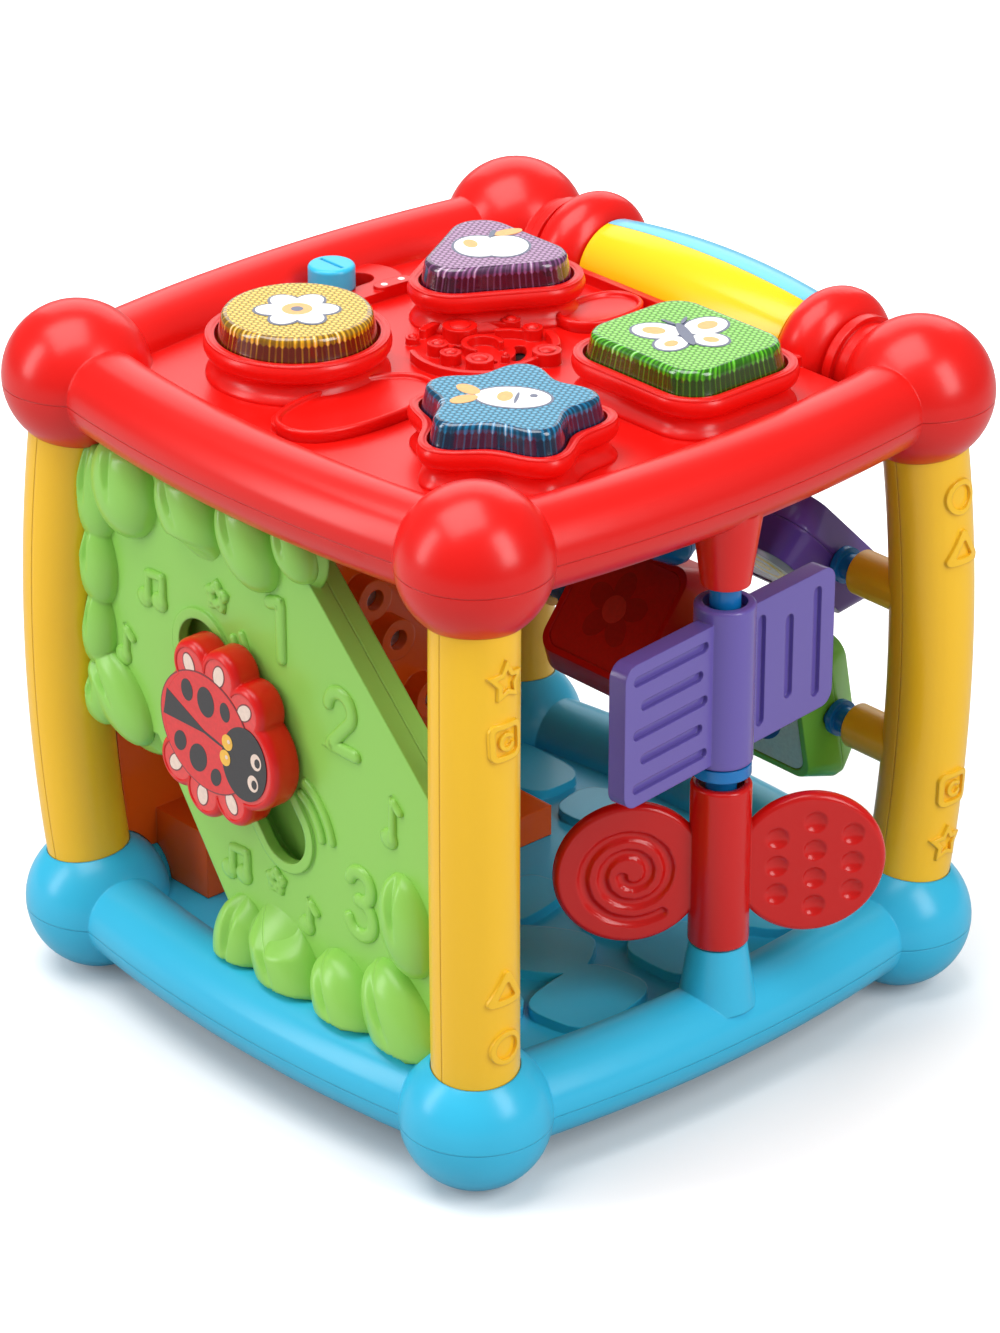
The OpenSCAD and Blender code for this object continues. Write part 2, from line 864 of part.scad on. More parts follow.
module top_upper_shell() {
    color(RED)
    place()
    difference() {
        union() {
            intersection() {
                difference() {
                    top_frame(0);
                    top_frame(-wall);
                }
                slab(seam_hi, z_hi + 60);
            }
            bar(-hc - 1, hc + 1, -hc - 1, rear_y, under, plate_z);
            bar(-hc, hc, rear_y - wall, rear_y, seam_hi, plate_z);
            bar(-lug_x, lug_x, rear_y - wall, rear_y, seam_hi, plate_z + lip_rise);
            lug_cores(seam_hi, z_hi + 60);
            for (k = [0:3])
                at_button(k)
                    collar(k);
            translate([knob_c[0], knob_c[1], under])
                linear_extrude(pad_rise + wall)
                    stadium([1, -knob_travel - 1], [1, knob_travel + 1], 2 * knob_r + 9);
            translate([grille_c[0], grille_c[1], 0])
                grille();
            translate([grille_c[0], grille_c[1], flange_top - 5.4])
                difference() {
                    cylinder(r = speaker_r + gap + 1.4, h = under - flange_top + 5.5, $fn = 64);
                    translate([0, 0, -1])
                        cylinder(r = speaker_r + gap, h = 8, $fn = 64);
                }
            for (p = TOP_SCREWS)
                translate([p[0], p[1], tray_top + gap])
                    cylinder(r = screw_r + 2.2, h = plate_z - tray_top - gap, $fn = 32);
            for (o = OVALS)
                translate([o[0], o[1], plate_z - 0.1])
                    linear_extrude(2.1)
                        difference() {
                            ellipse(o[2], o[3]);
                            ellipse(o[2] - 2.6, o[3] - 2.6);
                        }
            translate([knob_c[0] + knob_r + 3.2, knob_c[1] + 14, plate_z - 0.1])
                linear_extrude(pad_rise + 1.1)
                    stadium([0, -4], [0.6, 4], 4.6);
        }
        roller_room();
        for (k = [0:3])
            at_button(k)
                collar_cut(k);
        translate([knob_c[0], knob_c[1], under - 1])
            linear_extrude(pad_rise + wall + 2)
                stadium([0, -knob_travel], [0, knob_travel], 2 * slot_r);
        translate([grille_c[0], grille_c[1], 0])
            grille_slots();
        for (p = TOP_SCREWS)
            translate([p[0], p[1], tray_top - 1])
                cylinder(r = screw_r + run, h = plate_z - tray_top - 2, $fn = 32);
        axle_hole();
    }
}

module top_screws() {
    color(STEEL)
    place()
    for (p = TOP_SCREWS)
        screw_up(p[0], p[1], tray_z, 9);
}

module battery_door() {
    color(RED)
    place()
    difference() {
        union() {
            bar(-box_hx - box_wall, box_hx + box_wall, -box_out_y, box_out_y, door_z - door_t, door_z - 0.05);
            bar(-box_hx + gap, box_hx - gap, -box_hy + gap, box_hy - gap, door_z - door_t, door_z + 0.8);
            translate([0, door_boss_y, door_z - door_t])
                cylinder(r = screw_r + 2.4, h = door_t - 0.05, $fn = 32);
        }
        translate([0, door_boss_y, door_z - door_t - 1])
            cylinder(r = screw_r + gap, h = door_t + 2, $fn = 32);
    }
}

module door_screw() {
    color(STEEL)
    place()
    screw_up(0, door_boss_y, door_z - door_t, 9);
}

module batteries() {
    color(DARK)
    place()
    for (x = [-1, 1])
        translate([x * (cell_r + 0.7), 0, cell_z])
            rotate([x * 90, 0, 0]) {
                translate([0, 0, -cell_len / 2])
                    cylinder(r = cell_r, h = cell_len - 0.8, $fn = 48);
                cylinder(r = 1.9, h = cell_len / 2, $fn = 32);
            }
}

module battery_contacts() {
    color(STEEL)
    place()
    for (x = [-1, 1], y = [-1, 1])
        translate([x * (cell_r + 0.7), y * (cell_len / 2 + gap), cell_z])
            rotate([-y * 90, 0, 0]) {
                cylinder(r = 3.6, h = 0.6, $fn = 32);
                cylinder(r = 1.6, h = box_hy - cell_len / 2 - 1.5 * gap, $fn = 32);
            }
}

module circuit_board() {
    color([0.1, 0.4, 0.2])
    place()
    bar(-73.5, 60, -56, 48, board_z, board_top);
}

module leds() {
    color(CREAM)
    place()
    for (p = PLACES)
        translate([p[0] + 9, p[1], board_top]) {
            cylinder(r = 2.2, h = 2.4, $fn = 32);
            translate([0, 0, 2.4])
                intersection() {
                    sphere(r = 2.2, $fn = 32);
                    cylinder(r = 3, h = 3, $fn = 32);
                }
        }
}

module speaker() {
    color(DARK)
    place()
    translate([grille_c[0], grille_c[1], flange_top - 4.8]) {
        translate([0, 0, 2])
            cylinder(r = speaker_r, h = 2.8, $fn = 64);
        cylinder(r1 = 9, r2 = 12, h = 2.1, $fn = 48);
    }
}

module slide_switch() {
    color(STEEL)
    place()
    bar(knob_c[0] - 1.5, knob_c[0] + 5, knob_c[1] - 14, knob_c[1] + 14, board_top, plunger_z - 0.3);
}

module dome(k) {
    color([0.85, 0.85, 0.85])
    place()
    at_button(k)
        translate([0, 0, board_top])
            cylinder(r1 = 5, r2 = 3, h = dome_h, $fn = 48);
}

module round_dome() {
    dome(0);
}

module triangle_dome() {
    dome(1);
}

module square_dome() {
    dome(2);
}

module star_dome() {
    dome(3);
}

// A hollow cap with a neck, a flange under the plate and a middle plunger.
module button(k) {
    cap_h = collar_top + cap_rise - cap_foot;
    at_button(k) {
        difference() {
            union() {
                translate([0, 0, cap_foot])
                    linear_extrude(cap_h, scale = cap_taper)
                        button_shape(k, 0);
                translate([0, 0, plunger_z])
                    linear_extrude(cap_foot - plunger_z + 0.1)
                        button_shape(k, -2.9 - free);
                translate([0, 0, plunger_z])
                    linear_extrude(flange_top - plunger_z)
                        button_shape(k, -1.6);
            }
            translate([0, 0, plunger_z - 1])
                linear_extrude(cap_foot + cap_h - cap_wall - plunger_z + 1)
                    button_shape(k, -2.9 - free - cap_wall);
        }
        translate([0, 0, plunger_z])
            cylinder(r = 3, h = cap_foot + cap_h - cap_wall - plunger_z + 0.1, $fn = 32);
    }
}

module round_button() {
    color([0.95, 0.75, 0.2])
    place()
    button(0);
}

module triangle_button() {
    color([0.55, 0.35, 0.65])
    place()
    button(1);
}

module square_button() {
    color([0.5, 0.8, 0.2])
    place()
    button(2);
}

module star_button() {
    color([0.2, 0.6, 0.75])
    place()
    button(3);
}

module slide_knob() {
    color(SKY)
    place()
    translate([knob_c[0], knob_c[1], 0])
        difference() {
            union() {
                translate([0, 0, pad_top + 0.3])
                    rotate_extrude($fn = 64) {
                        square([knob_r - 1.2, knob_h - 0.3]);
                        square([knob_r, knob_h - 1.5]);
                        translate([knob_r - 1.2, knob_h - 1.5])
                            circle(r = 1.2, $fn = 32);
                    }
                translate([0, 0, plunger_z])
                    cylinder(r = slot_r - free, h = pad_top + 1 - plunger_z, $fn = 48);
                bar(-knob_edge + 0.5, slot_r + 2, -slot_r, slot_r, plunger_z, flange_top);
            }
            bar(-knob_r + 2, knob_r - 2, -0.5, 0.5, pad_top + knob_h - 0.6, pad_top + knob_h + 1);
        }
}

// Barrel as a solid of revolution round X.
module barrel(g) {
    sag = roller_r - roller_end_r;
    half = roller_len / 2;
    arc = (half * half + sag * sag) / (2 * sag);
    rotate([0, 90, 0])
        rotate_extrude($fn = 96)
            intersection() {
                translate([roller_r + g - arc, 0])
                    circle(r = arc, $fn = 720);
                translate([0, -half - g])
                    square([roller_r + 1, 2 * half + 2 * g]);
            }
}

module roller_half(up) {
    translate([0, hc, z_hi])
        rotate([roller_turn, 0, 0])
            difference() {
                intersection() {
                    difference() {
                        barrel(0);
                        difference() {
                            barrel(-wall);
                            rotate([0, 90, 0])
                                cylinder(r = axle_r + 2.5, h = 2 * roller_len, center = true, $fn = 48);
                        }
                    }
                    if (up)
                        bar(-big, big, -big, big, gap / 4, big);
                    else
                        bar(-big, big, -big, big, -big, -gap / 4);
                }
                rotate([0, 90, 0])
                    cylinder(r = axle_r + run, h = 2 * roller_len, center = true, $fn = 48);
            }
}

module roller_front() {
    color(YELLOW)
    place()
    roller_half(true);
}

module roller_back() {
    color(SKY)
    place()
    roller_half(false);
}

module roller_axle() {
    color(STEEL)
    place()
    translate([-lug_x + 3, hc, z_hi])
        rotate([0, 90, 0])
            cylinder(r = axle_r, h = 2 * lug_x - 6, $fn = 48);
}

// Front view of the slider panel: X to the right, Z up.
PANEL = [[-78, tray_z - gap], [-78, 92], [-66, 84], [-58, 88], [-46, 88], [-16, 46],
    [-16, floor_z + gap], [78, floor_z + gap], [78, 100], [68, 112], [62, 118], [17, 162],
    [17, tray_z - gap]];
module panel_slice(y0, y1) {
    translate([0, y1, 0])
        rotate([90, 0, 0])
            linear_extrude(y1 - y0)
                polygon(PANEL);
}

module slot_solid(w, y0, y1) {
    translate([0, y1, 0])
        rotate([90, 0, 0])
            linear_extrude(y1 - y0)
                stadium(slot_a, slot_b, w);
}

// A plump leaf with a mid ridge, a lens turned from two arcs: [x, z, length, width, rise, lean].
LEAVES = [[-9, 36, 32, 20, 7, 0], [11, 38, 38, 23, 8, 34], [36, 37, 32, 22, 8, 36],
    [58, 40, 38, 24, 7, 36], [60, 71, 30, 18, 5, 16], [-70, 155, 30, 17, 4, 4],
    [-70, 134, 27, 16, 4, 8], [-71, 114, 26, 15, 4, 4], [-62, 95, 33, 19, 4, 46],
    [-70, 93, 20, 15, 4, 12], [-56, 161, 30, 25, 6, 10], [-28, 163, 30, 22, 6, 36],
    [-3, 163, 30, 20, 6, 32], [16, 167, 20, 14, 4, 30]];
module leaf(s) {
    rho = (s[2] * s[2] / 4 + s[4] * s[4]) / (2 * s[4]);
    d = (s[2] * s[2] - s[3] * s[3]) / (4 * s[3]);
    translate([s[0], -panel_y + rho - s[4], s[1]])
        rotate([0, -s[5], 0])
            difference() {
                rotate([90, 0, 90])
                    rotate_extrude($fn = 64)
                        intersection() {
                            translate([0, d])
                                circle(r = norm([rho, d]), $fn = 96);
                            translate([0, -d])
                                circle(r = norm([rho, d]), $fn = 96);
                            translate([0, -rho])
                                square([rho + 1, 2 * rho]);
                        }
                bar(-2 * rho, 2 * rho, s[4] - rho + 3, 2 * rho, -2 * rho, 2 * rho);
            }
}

module star_band(c, r, w) {
    translate(c)
        difference() {
            polygon([for (i = [0:9]) (i % 2 == 0 ? r : 0.55 * r) * [sin(36 * i), cos(36 * i)]]);
            polygon([for (i = [0:9]) (i % 2 == 0 ? r - 1.7 * w : 0.55 * r - w) * [sin(36 * i), cos(36 * i)]]);
        }
}

module note(c, h, flag) {
    translate(c) {
        circle(r = 2.1, $fn = 32);
        if (flag)
            stroke([[1.5, 0.2], [1.5, h], [4.4, h - 2.6]], 1.3);
        else
            stroke([[1.5, 0.2], [1.5, h]], 1.3);
    }
}

module note_pair(c, h) {
    note(c, h, false);
    note(c + [6.4, 0.6], h, false);
    stadium(c + [1.5, h], c + [7.9, h + 0.6], 1.8);
}

// Digits 1, 2 and 3, notes, stars and the arcs beside the slot, seen from the front.
module panel_figures() {
    w = 2.3;
    stroke([[4.6, 147.2], [9, 148.5], [9, 132]], w);
    stroke(concat(arc_pts([33, 125.6], 4.8, 175, -38, 20), [[28.6, 113.8], [39, 113.8]]), w);
    stroke(arc_pts([40.4, 74.8], 4.4, 160, -100, 22), w);
    stroke(arc_pts([40.4, 65.2], 5.2, 66, -160, 22), w);
    star_band([-17.8, 141], 5, 1.3);
    star_band([5, 62.5], 4.2, 1.2);
    note([52.4, 94.4], 12, true);
    note([17.6, 53.6], 8, true);
    note([-60, 108], 9, true);
    note_pair([-49.4, 129.6], 8);
    note_pair([-15.4, 58], 7.5);
    for (r = [14.2, 18.6]) {
        stroke(arc_pts(slot_a, r + 1.8, -4, 32, 12), 1.5);
        stroke(arc_pts(slot_b, r + 1.8, 12, 64, 14), 1.5);
    }
}

module slider_panel_front() {
    color(GREEN)
    place()
    difference() {
        union() {
            panel_slice(-panel_y, -panel_y + panel_t);
            for (s = LEAVES)
                leaf(s);
            translate([0, -panel_y + 1, 0])
                rotate([90, 0, 0])
                    linear_extrude(1 + figure_h)
                        panel_figures();
            slot_solid(slot_w + 2 * edge_w, -panel_y - figure_h, -panel_y + 1);
        }
        slot_solid(slot_w, -panel_y - 5, -panel_y + panel_t + 1);
        slot_solid(slot_w + 9, -panel_y + wall, -panel_y + panel_t + 1);
        frame_cut(LEFT, FRONT, 270);
    }
}

module slider_panel_back() {
    color(GREEN)
    place()
    difference() {
        panel_slice(-panel_y + panel_t + gap / 4, -panel_y + 2 * panel_t);
        slot_solid(slot_w + 9, -panel_y + panel_t - 1, -panel_y + panel_t + 1.4);
        frame_cut(LEFT, FRONT, 270);
    }
}

// Outline of the slider: a round body with a head and six feet, grown by g.
module slider_shape(g) {
    rotate([0, 0, -12]) {
        circle(r = slider_r + g, $fn = 96);
        translate([head_x, 0])
            circle(r = head_r + g, $fn = 96);
        for (a = [-124, -87, -50, 50, 87, 124])
            translate(foot_at * [cos(a), sin(a)])
                circle(r = slider_foot + g, $fn = 64);
    }
}

module on_slider(y) {
    translate([slider_c[0], y, slider_c[1]])
        rotate([90, 0, 0])
            children();
}

module slider_body() {
    color(RED)
    place()
    difference() {
        union() {
            on_slider(slider_back)
                linear_extrude(slider_t)
                    slider_shape(0);
            on_slider(-panel_y + wall + 0.3)
                cylinder(r = stem_r, h = wall + 0.5 + figure_h + 0.3, $fn = 64);
        }
        on_slider(slider_back - slider_t + 1)
            linear_extrude(2)
                slider_shape(-2.2);
        on_slider(-panel_y + wall + 1)
            cylinder(r = screw_r + run, h = 9, $fn = 32);
    }
}

module slider_label() {
    color(CREAM)
    place()
    on_slider(slider_back - slider_t + 1 - run)
        linear_extrude(0.7)
            slider_shape(-2.4);
}

module slider_rear() {
    color(RED)
    place()
    difference() {
        on_slider(-panel_y + wall + 0.35 + rear_t)
            cylinder(r = slot_w / 2 + 3.4, h = rear_t, $fn = 64);
        on_slider(-panel_y + panel_t + 3)
            cylinder(r = screw_r + gap, h = 8, $fn = 32);
    }
}

module slider_screw() {
    color(STEEL)
    place()
    on_slider(-panel_y + wall + 0.35 + rear_t) {
        translate([0, 0, -0.5])
            cylinder(r = screw_r, h = 9.5, $fn = 32);
        translate([0, 0, -1.2])
            cylinder(r = 2 * screw_r, h = 1.15, $fn = 32);
    }
}

module flipper_shaft() {
    color(BLUE)
    place()
    translate([flip_x, 0, 0]) {
        translate([0, 0, cone_top - 12 + gap])
            cylinder(r = shaft_r, h = cone_low + 24 - cone_top - 2 * gap, $fn = 64);
        translate([0, 0, collar_z])
            cylinder(r = collar_r, h = collar_t, $fn = 64);
    }
}

module hub(z, h) {
    translate([0, 0, z])
        rotate_extrude($fn = 64) {
            square([hub_r - 1, h]);
            translate([0, 1])
                square([hub_r, h - 2]);
            translate([hub_r - 1, 1])
                circle(r = 1, $fn = 24);
            translate([hub_r - 1, h - 1])
                circle(r = 1, $fn = 24);
        }
}

module hub_bore(z, h) {
    translate([0, 0, z - 1])
        cylinder(r = shaft_r + run, h = h + 2, $fn = 64);
    for (e = [z - 1, z + h - 3])
        translate([0, 0, e])
            cylinder(r = shaft_r + 1.8, h = 4, $fn = 64);
}

// Flat blade in the YZ plane from a 2-D outline in [y, z].
module blade(t) {
    rotate([90, 0, 90])
        linear_extrude(t, center = true)
            children();
}

module both_faces(t) {
    for (f = [-1, 1])
        translate([f * t / 2, 0, 0])
            children();
}

module paddle_flipper() {
    color(PURPLE)
    place()
    translate([flip_x, 0, 0])
        rotate([0, 0, paddle_turn])
            difference() {
                union() {
                    hub(paddle_z, paddle_hub_h);
                    blade(paddle_t)
                        translate([0, paddle_mid])
                            round_rect(2 * paddle_reach, paddle_h, 4.5);
                }
                hub_bore(paddle_z, paddle_hub_h);
                both_faces(paddle_t)
                    blade(2 * groove) {
                        for (i = [-2:2])
                            stadium([-paddle_reach + (i % 2 == 0 ? 5 : 8), paddle_mid + i * paddle_h / 5.3],
                                [-hub_r - (i % 2 == 0 ? 3 : 5), paddle_mid + i * paddle_h / 5.3], 3);
                        for (i = [0:2])
                            stadium([hub_r + 4 + i * 12, paddle_mid + paddle_h / 2 - (i == 1 ? 10 : 6)],
                                [hub_r + 4 + i * 12, paddle_mid - paddle_h / 2 + (i == 1 ? 10 : 6)], 3.4);
                    }
            }
}

// Spiral band: inner and outer edge of a groove of width w that winds from r0 to r1.
module spiral(r0, r1, turns, w) {
    n = 30 * turns;
    polygon(concat(
        [for (i = [0:n])
            let (a = 12 * i, r = r0 + (r1 - r0) * i / n)
                (r - w / 2) * [cos(a), sin(a)]],
        [for (j = [0:n])
            let (i = n - j, a = 12 * i, r = r0 + (r1 - r0) * i / n)
                (r + w / 2) * [cos(a), sin(a)]]));
}

module disc_flipper() {
    color(RED)
    place()
    translate([flip_x, 0, 0])
        rotate([0, 0, disc_turn])
            difference() {
                union() {
                    hub(cone_top + 0.3, disc_hub_h);
                    for (y = [-1, 1])
                        translate([0, y * disc_reach, disc_z])
                            rotate([0, 90, 0])
                                cylinder(r = disc_r, h = disc_t, center = true, $fn = 96);
                }
                hub_bore(cone_top + 0.3, disc_hub_h);
                both_faces(disc_t)
                    blade(2 * groove)
                        translate([-disc_reach - 1.4, disc_z])
                            spiral(2.2, 13.8, 3, 2.6);
                for (c = [-1:1], r = [-1.5:1.5], f = [-1, 1])
                    if (c == 0 || r < 1)
                        translate([f * (disc_t / 2 + 2.2), disc_reach + 1.2 + c * 10.5,
                            disc_z + (c == 0 ? r : r + 0.5) * 8.6])
                            sphere(r = 3.8, $fn = 32);
            }
}

module tile_shaft(z) {
    color(BLUE)
    place()
    translate([0, hc, z])
        rotate([0, 90, 0]) {
            cylinder(r = tile_shaft_r, h = 2 * stub_x + 16, center = true, $fn = 64);
            cylinder(r = tile_shaft_r + 2, h = 2 * tile_x - tile_w - 2 * free, center = true, $fn = 64);
            for (x = [-1, 1])
                translate([0, 0, x * (tile_x + tile_w / 2 + free + 1)])
                    cylinder(r = tile_shaft_r + 1.4, h = 2, center = true, $fn = 64);
        }
}

module upper_tile_shaft() {
    tile_shaft(tile_z_up);
}

module lower_tile_shaft() {
    tile_shaft(tile_z_low);
}

// Half of a flip tile; its parting plane holds the shaft axis.
module tile_half(sx, z, tilt, back) {
    translate([sx * tile_x, hc, z])
        rotate([tilt, 0, 0])
            rotate([back ? -90 : 90, 0, 0])
                difference() {
                    hull() {
                        translate([0, 0, gap / 4])
                            linear_extrude(1)
                                round_rect(tile_w, tile_h, tile_c);
                        translate([0, 0, tile_t / 2 - 1])
                            linear_extrude(1)
                                round_rect(tile_w - 2 * tile_draft, tile_h - 2 * tile_draft, tile_c - 2);
                    }
                    translate([0, 0, tile_t / 2 - label_d])
                        linear_extrude(2)
                            round_rect(tile_w - 3 * tile_draft, tile_h - 3 * tile_draft, tile_c - 3);
                    rotate([0, 90, 0])
                        cylinder(r = tile_shaft_r + run, h = 2 * tile_w, center = true, $fn = 64);
                }
}

module tile(sx, z, tilt, back, c) {
    color(c)
    place()
    tile_half(sx, z, tilt, back);
}

module tile_ur_front() {
    tile(1, tile_z_up, tile_tilt[0], false, PURPLE);
}

module tile_ur_back() {
    tile(1, tile_z_up, tile_tilt[0], true, PURPLE);
}

module tile_ul_front() {
    tile(-1, tile_z_up, tile_tilt[1], false, BLUE);
}

module tile_ul_back() {
    tile(-1, tile_z_up, tile_tilt[1], true, BLUE);
}

module tile_lr_front() {
    tile(1, tile_z_low, tile_tilt[2], false, GREEN);
}

module tile_lr_back() {
    tile(1, tile_z_low, tile_tilt[2], true, GREEN);
}

module tile_ll_front() {
    tile(-1, tile_z_low, tile_tilt[3], false, RED);
}

module tile_ll_back() {
    tile(-1, tile_z_low, tile_tilt[3], true, RED);
}

// Rear panel: a plain outer plate and an inner plate with bosses and a low housing.
BOSSES = [[17, 87], [26, 71], [39.5, 47]];
module rear_slice(x0, x1) {
    bar(x0, x1, -hc - 6, hc + 6, floor_z + gap, tray_z - gap);
}

module rear_panel_front() {
    color(ORANGE)
    place()
    difference() {
        rear_slice(-rear_x, -rear_x + rear_half);
        frame_cut(LEFT, BACK, 180);
        for (b = BOSSES)
            translate([-rear_x + 1, b[0], b[1]])
                rotate([0, 90, 0])
                    cylinder(r = screw_r + run, h = 10, $fn = 32);
    }
}

module rear_panel_back() {
    color(ORANGE)
    place()
    difference() {
        union() {
            rear_slice(-rear_x + rear_half, -rear_x + 2 * rear_half);
            for (b = BOSSES)
                translate([-rear_x + 2 * rear_half - 0.1, b[0], b[1]])
                    rotate([0, 90, 0])
                        cylinder(r = 6.5, h = 7, $fn = 48);
            bar(-rear_x + rear_half + 1, -56, -62, -18, floor_z + gap, floor_z + house_h);
            bar(-rear_x + rear_half + 1, -18, -20, 38, floor_z + gap, floor_z + house_h - 11);
            bar(-rear_x + rear_half + 1, -rear_x + 2 * rear_half + 1.6, -58, -22, 60, 140);
        }
        frame_cut(LEFT, BACK, 180);
        for (b = BOSSES)
            translate([-rear_x + rear_half - 1, b[0], b[1]])
                rotate([0, 90, 0]) {
                    cylinder(r = screw_r + gap, h = 20, $fn = 32);
                    translate([0, 0, rear_half + 3])
                        cylinder(r = 2 * screw_r + gap, h = 20, $fn = 32);
                }
    }
}

module rear_panel_screws() {
    color(STEEL)
    place()
    for (b = BOSSES)
        translate([-rear_x + 1.2, b[0], b[1]])
            rotate([0, 90, 0]) {
                cylinder(r = screw_r, h = 2 * rear_half, $fn = 32);
                translate([0, 0, 2 * rear_half + 0.8])
                    cylinder(r = 2 * screw_r, h = 1.6, $fn = 32);
                cylinder(r = screw_r, h = 2 * rear_half + 1, $fn = 32);
            }
}

base_lower_shell();
base_upper_shell();
base_screws();
front_post_outer();
front_post_inner();
right_post_outer();
right_post_inner();
left_post_outer();
left_post_inner();
back_post_outer();
back_post_inner();
top_lower_shell();
top_upper_shell();
top_screws();
battery_door();
door_screw();
batteries();
battery_contacts();
circuit_board();
leds();
speaker();
slide_switch();
round_dome();
triangle_dome();
square_dome();
star_dome();
round_button();
triangle_button();
square_button();
star_button();
slide_knob();
roller_front();
roller_back();
roller_axle();
slider_panel_front();
slider_panel_back();
slider_body();
slider_label();
slider_rear();
slider_screw();
flipper_shaft();
paddle_flipper();
disc_flipper();
upper_tile_shaft();
lower_tile_shaft();
tile_ur_front();
tile_ur_back();
tile_ul_front();
tile_ul_back();
tile_lr_front();
tile_lr_back();
tile_ll_front();
tile_ll_back();
rear_panel_front();
rear_panel_back();
rear_panel_screws();
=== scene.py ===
"""Activity cube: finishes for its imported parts, lit button caps, prints and a studio stage."""

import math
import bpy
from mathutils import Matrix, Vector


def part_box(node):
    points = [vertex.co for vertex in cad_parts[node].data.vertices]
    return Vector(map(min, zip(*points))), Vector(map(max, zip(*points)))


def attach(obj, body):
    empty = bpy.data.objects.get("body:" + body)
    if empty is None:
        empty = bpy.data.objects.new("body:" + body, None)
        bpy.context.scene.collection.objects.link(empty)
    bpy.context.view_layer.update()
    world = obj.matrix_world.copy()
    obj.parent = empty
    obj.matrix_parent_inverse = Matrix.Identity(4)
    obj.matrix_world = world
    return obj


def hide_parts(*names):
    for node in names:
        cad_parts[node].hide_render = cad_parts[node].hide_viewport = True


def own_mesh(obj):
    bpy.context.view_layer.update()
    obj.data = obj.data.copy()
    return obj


bl_info = {
    "name": "Activity Cube",
    "version": (1, 0, 0),
    "blender": (4, 5, 0),
    "location": "View3D > Sidebar > Activity Cube",
    "description": "Dresses an activity cube with plastics, lit button caps and prints, and sets its stage",
    "category": "Object",
}

import bmesh
import bpy
from bpy.props import FloatProperty, FloatVectorProperty, IntProperty, PointerProperty
from mathutils import Matrix, Vector

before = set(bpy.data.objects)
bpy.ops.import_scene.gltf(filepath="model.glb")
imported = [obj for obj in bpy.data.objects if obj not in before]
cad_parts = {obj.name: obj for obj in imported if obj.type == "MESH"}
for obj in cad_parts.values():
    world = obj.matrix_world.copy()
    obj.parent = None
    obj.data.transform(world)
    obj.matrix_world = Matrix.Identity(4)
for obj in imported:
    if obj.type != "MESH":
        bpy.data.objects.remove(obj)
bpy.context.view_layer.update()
MM = 0.001


def srgb(red, green, blue):
    """Linear colour from 0-255 screen values."""
    def one(value):
        value /= 255
        return value / 12.92 if value <= 0.04045 else ((value + 0.055) / 1.055) ** 2.4
    return (one(red), one(green), one(blue))


def colour(name, description, red, green, blue):
    return FloatVectorProperty(name=name, description=description, subtype="COLOR", size=3,
                               min=0, max=1, default=srgb(red, green, blue))


def length(name, description, default):
    return FloatProperty(name=name, description=description, default=default, unit="LENGTH",
                         min=0, precision=5)


class CubeColours(bpy.types.PropertyGroup):
    """Colours of the moulded plastics and the prints."""
    red: colour("Red", "Top housing, slider and its rear plate", 222, 18, 12)
    spinner_red: colour("Spinner red", "Disc spinner", 205, 18, 14)
    sky: colour("Sky", "Base, balls and knob", 52, 187, 228)
    roller_sky: colour("Roller blue", "Outer half of the roller", 104, 198, 232)
    yellow: colour("Yellow", "Posts", 250, 196, 36)
    roller_yellow: colour("Roller yellow", "Inner half of the roller", 254, 208, 26)
    green: colour("Green", "Slider panel", 148, 210, 92)
    tile_green: colour("Tile green", "Green flip tile", 122, 200, 62)
    orange: colour("Orange", "Rear panel", 226, 86, 14)
    purple: colour("Purple", "Paddle spinner", 106, 90, 172)
    tile_purple: colour("Tile purple", "Purple flip tile", 92, 62, 150)
    blue: colour("Blue", "Shafts and the blue flip tile", 16, 118, 190)
    amber: colour("Amber", "Round cap", 240, 198, 40)
    violet: colour("Violet", "Triangular cap", 172, 122, 170)
    lime: colour("Lime", "Square cap", 124, 212, 44)
    teal: colour("Teal", "Star cap", 18, 150, 190)
    ink: colour("Ink", "Outlines of the prints", 92, 98, 122)
    peach: colour("Peach", "Accents of the prints", 240, 168, 92)


class CubeSizes(bpy.types.PropertyGroup):
    """Sizes of the added pieces and finishes."""
    cap_height: length("Cap height", "Height of a cap above its foot", 0.0077)
    cap_fillet: length("Cap fillet", "Radius of a cap's top edge", 0.0019)
    cap_segments: IntProperty(name="Cap segments", description="Points round a cap", default=192, min=48)
    rib_pitch: length("Rib pitch", "Distance between the ribs inside a cap's side", 0.0019)
    cell_pitch: length("Cell pitch", "Distance between the cells under a cap's top", 0.0018)
    plate_level: length("Plate level", "Height of the top plate", 0.188)
    disc_thickness: length("Disc thickness", "Thickness of the spinner's discs", 0.0046)
    tab_level: length("Tab level", "Height of the dotted tab beside the knob", 0.1917)
    print_step: length("Print step", "Height of one layer of print", 0.00006)
    edge_round: length("Edge rounding", "Rounding that the moulded edges show", 0.0007)
    floor_size: length("Floor size", "Width of the floor", 12.0)


def props():
    scene = bpy.context.scene
    return scene.cube_colours, scene.cube_sizes


# Materials

DRIFT_SCALE, SMEAR_SCALE, GRAIN_SCALE = 12, 34, 1500
STEEL_SCALE, TURNING_SCALE = 300, 2400
INK_SCALE, SCREEN_SCALE, INK_ROUGH = 900, 2600, 0.38
# A cell's corner lies this share of the pitch from its middle.
CELL_REACH = 0.577
# A wave texture of scale 0.314 repeats once in a length of one.
WAVE_UNIT = 0.314


def new_material(name):
    material = bpy.data.materials.new(name)
    material.use_nodes = True
    tree = material.node_tree
    return material, tree, tree.nodes["Principled BSDF"]


def feed(tree, node, inputs):
    """Sets each named input of a node to a value, or joins it to an output."""
    for name, value in inputs.items():
        if isinstance(value, bpy.types.NodeSocket):
            tree.links.new(value, node.inputs[name])
        else:
            node.inputs[name].default_value = value


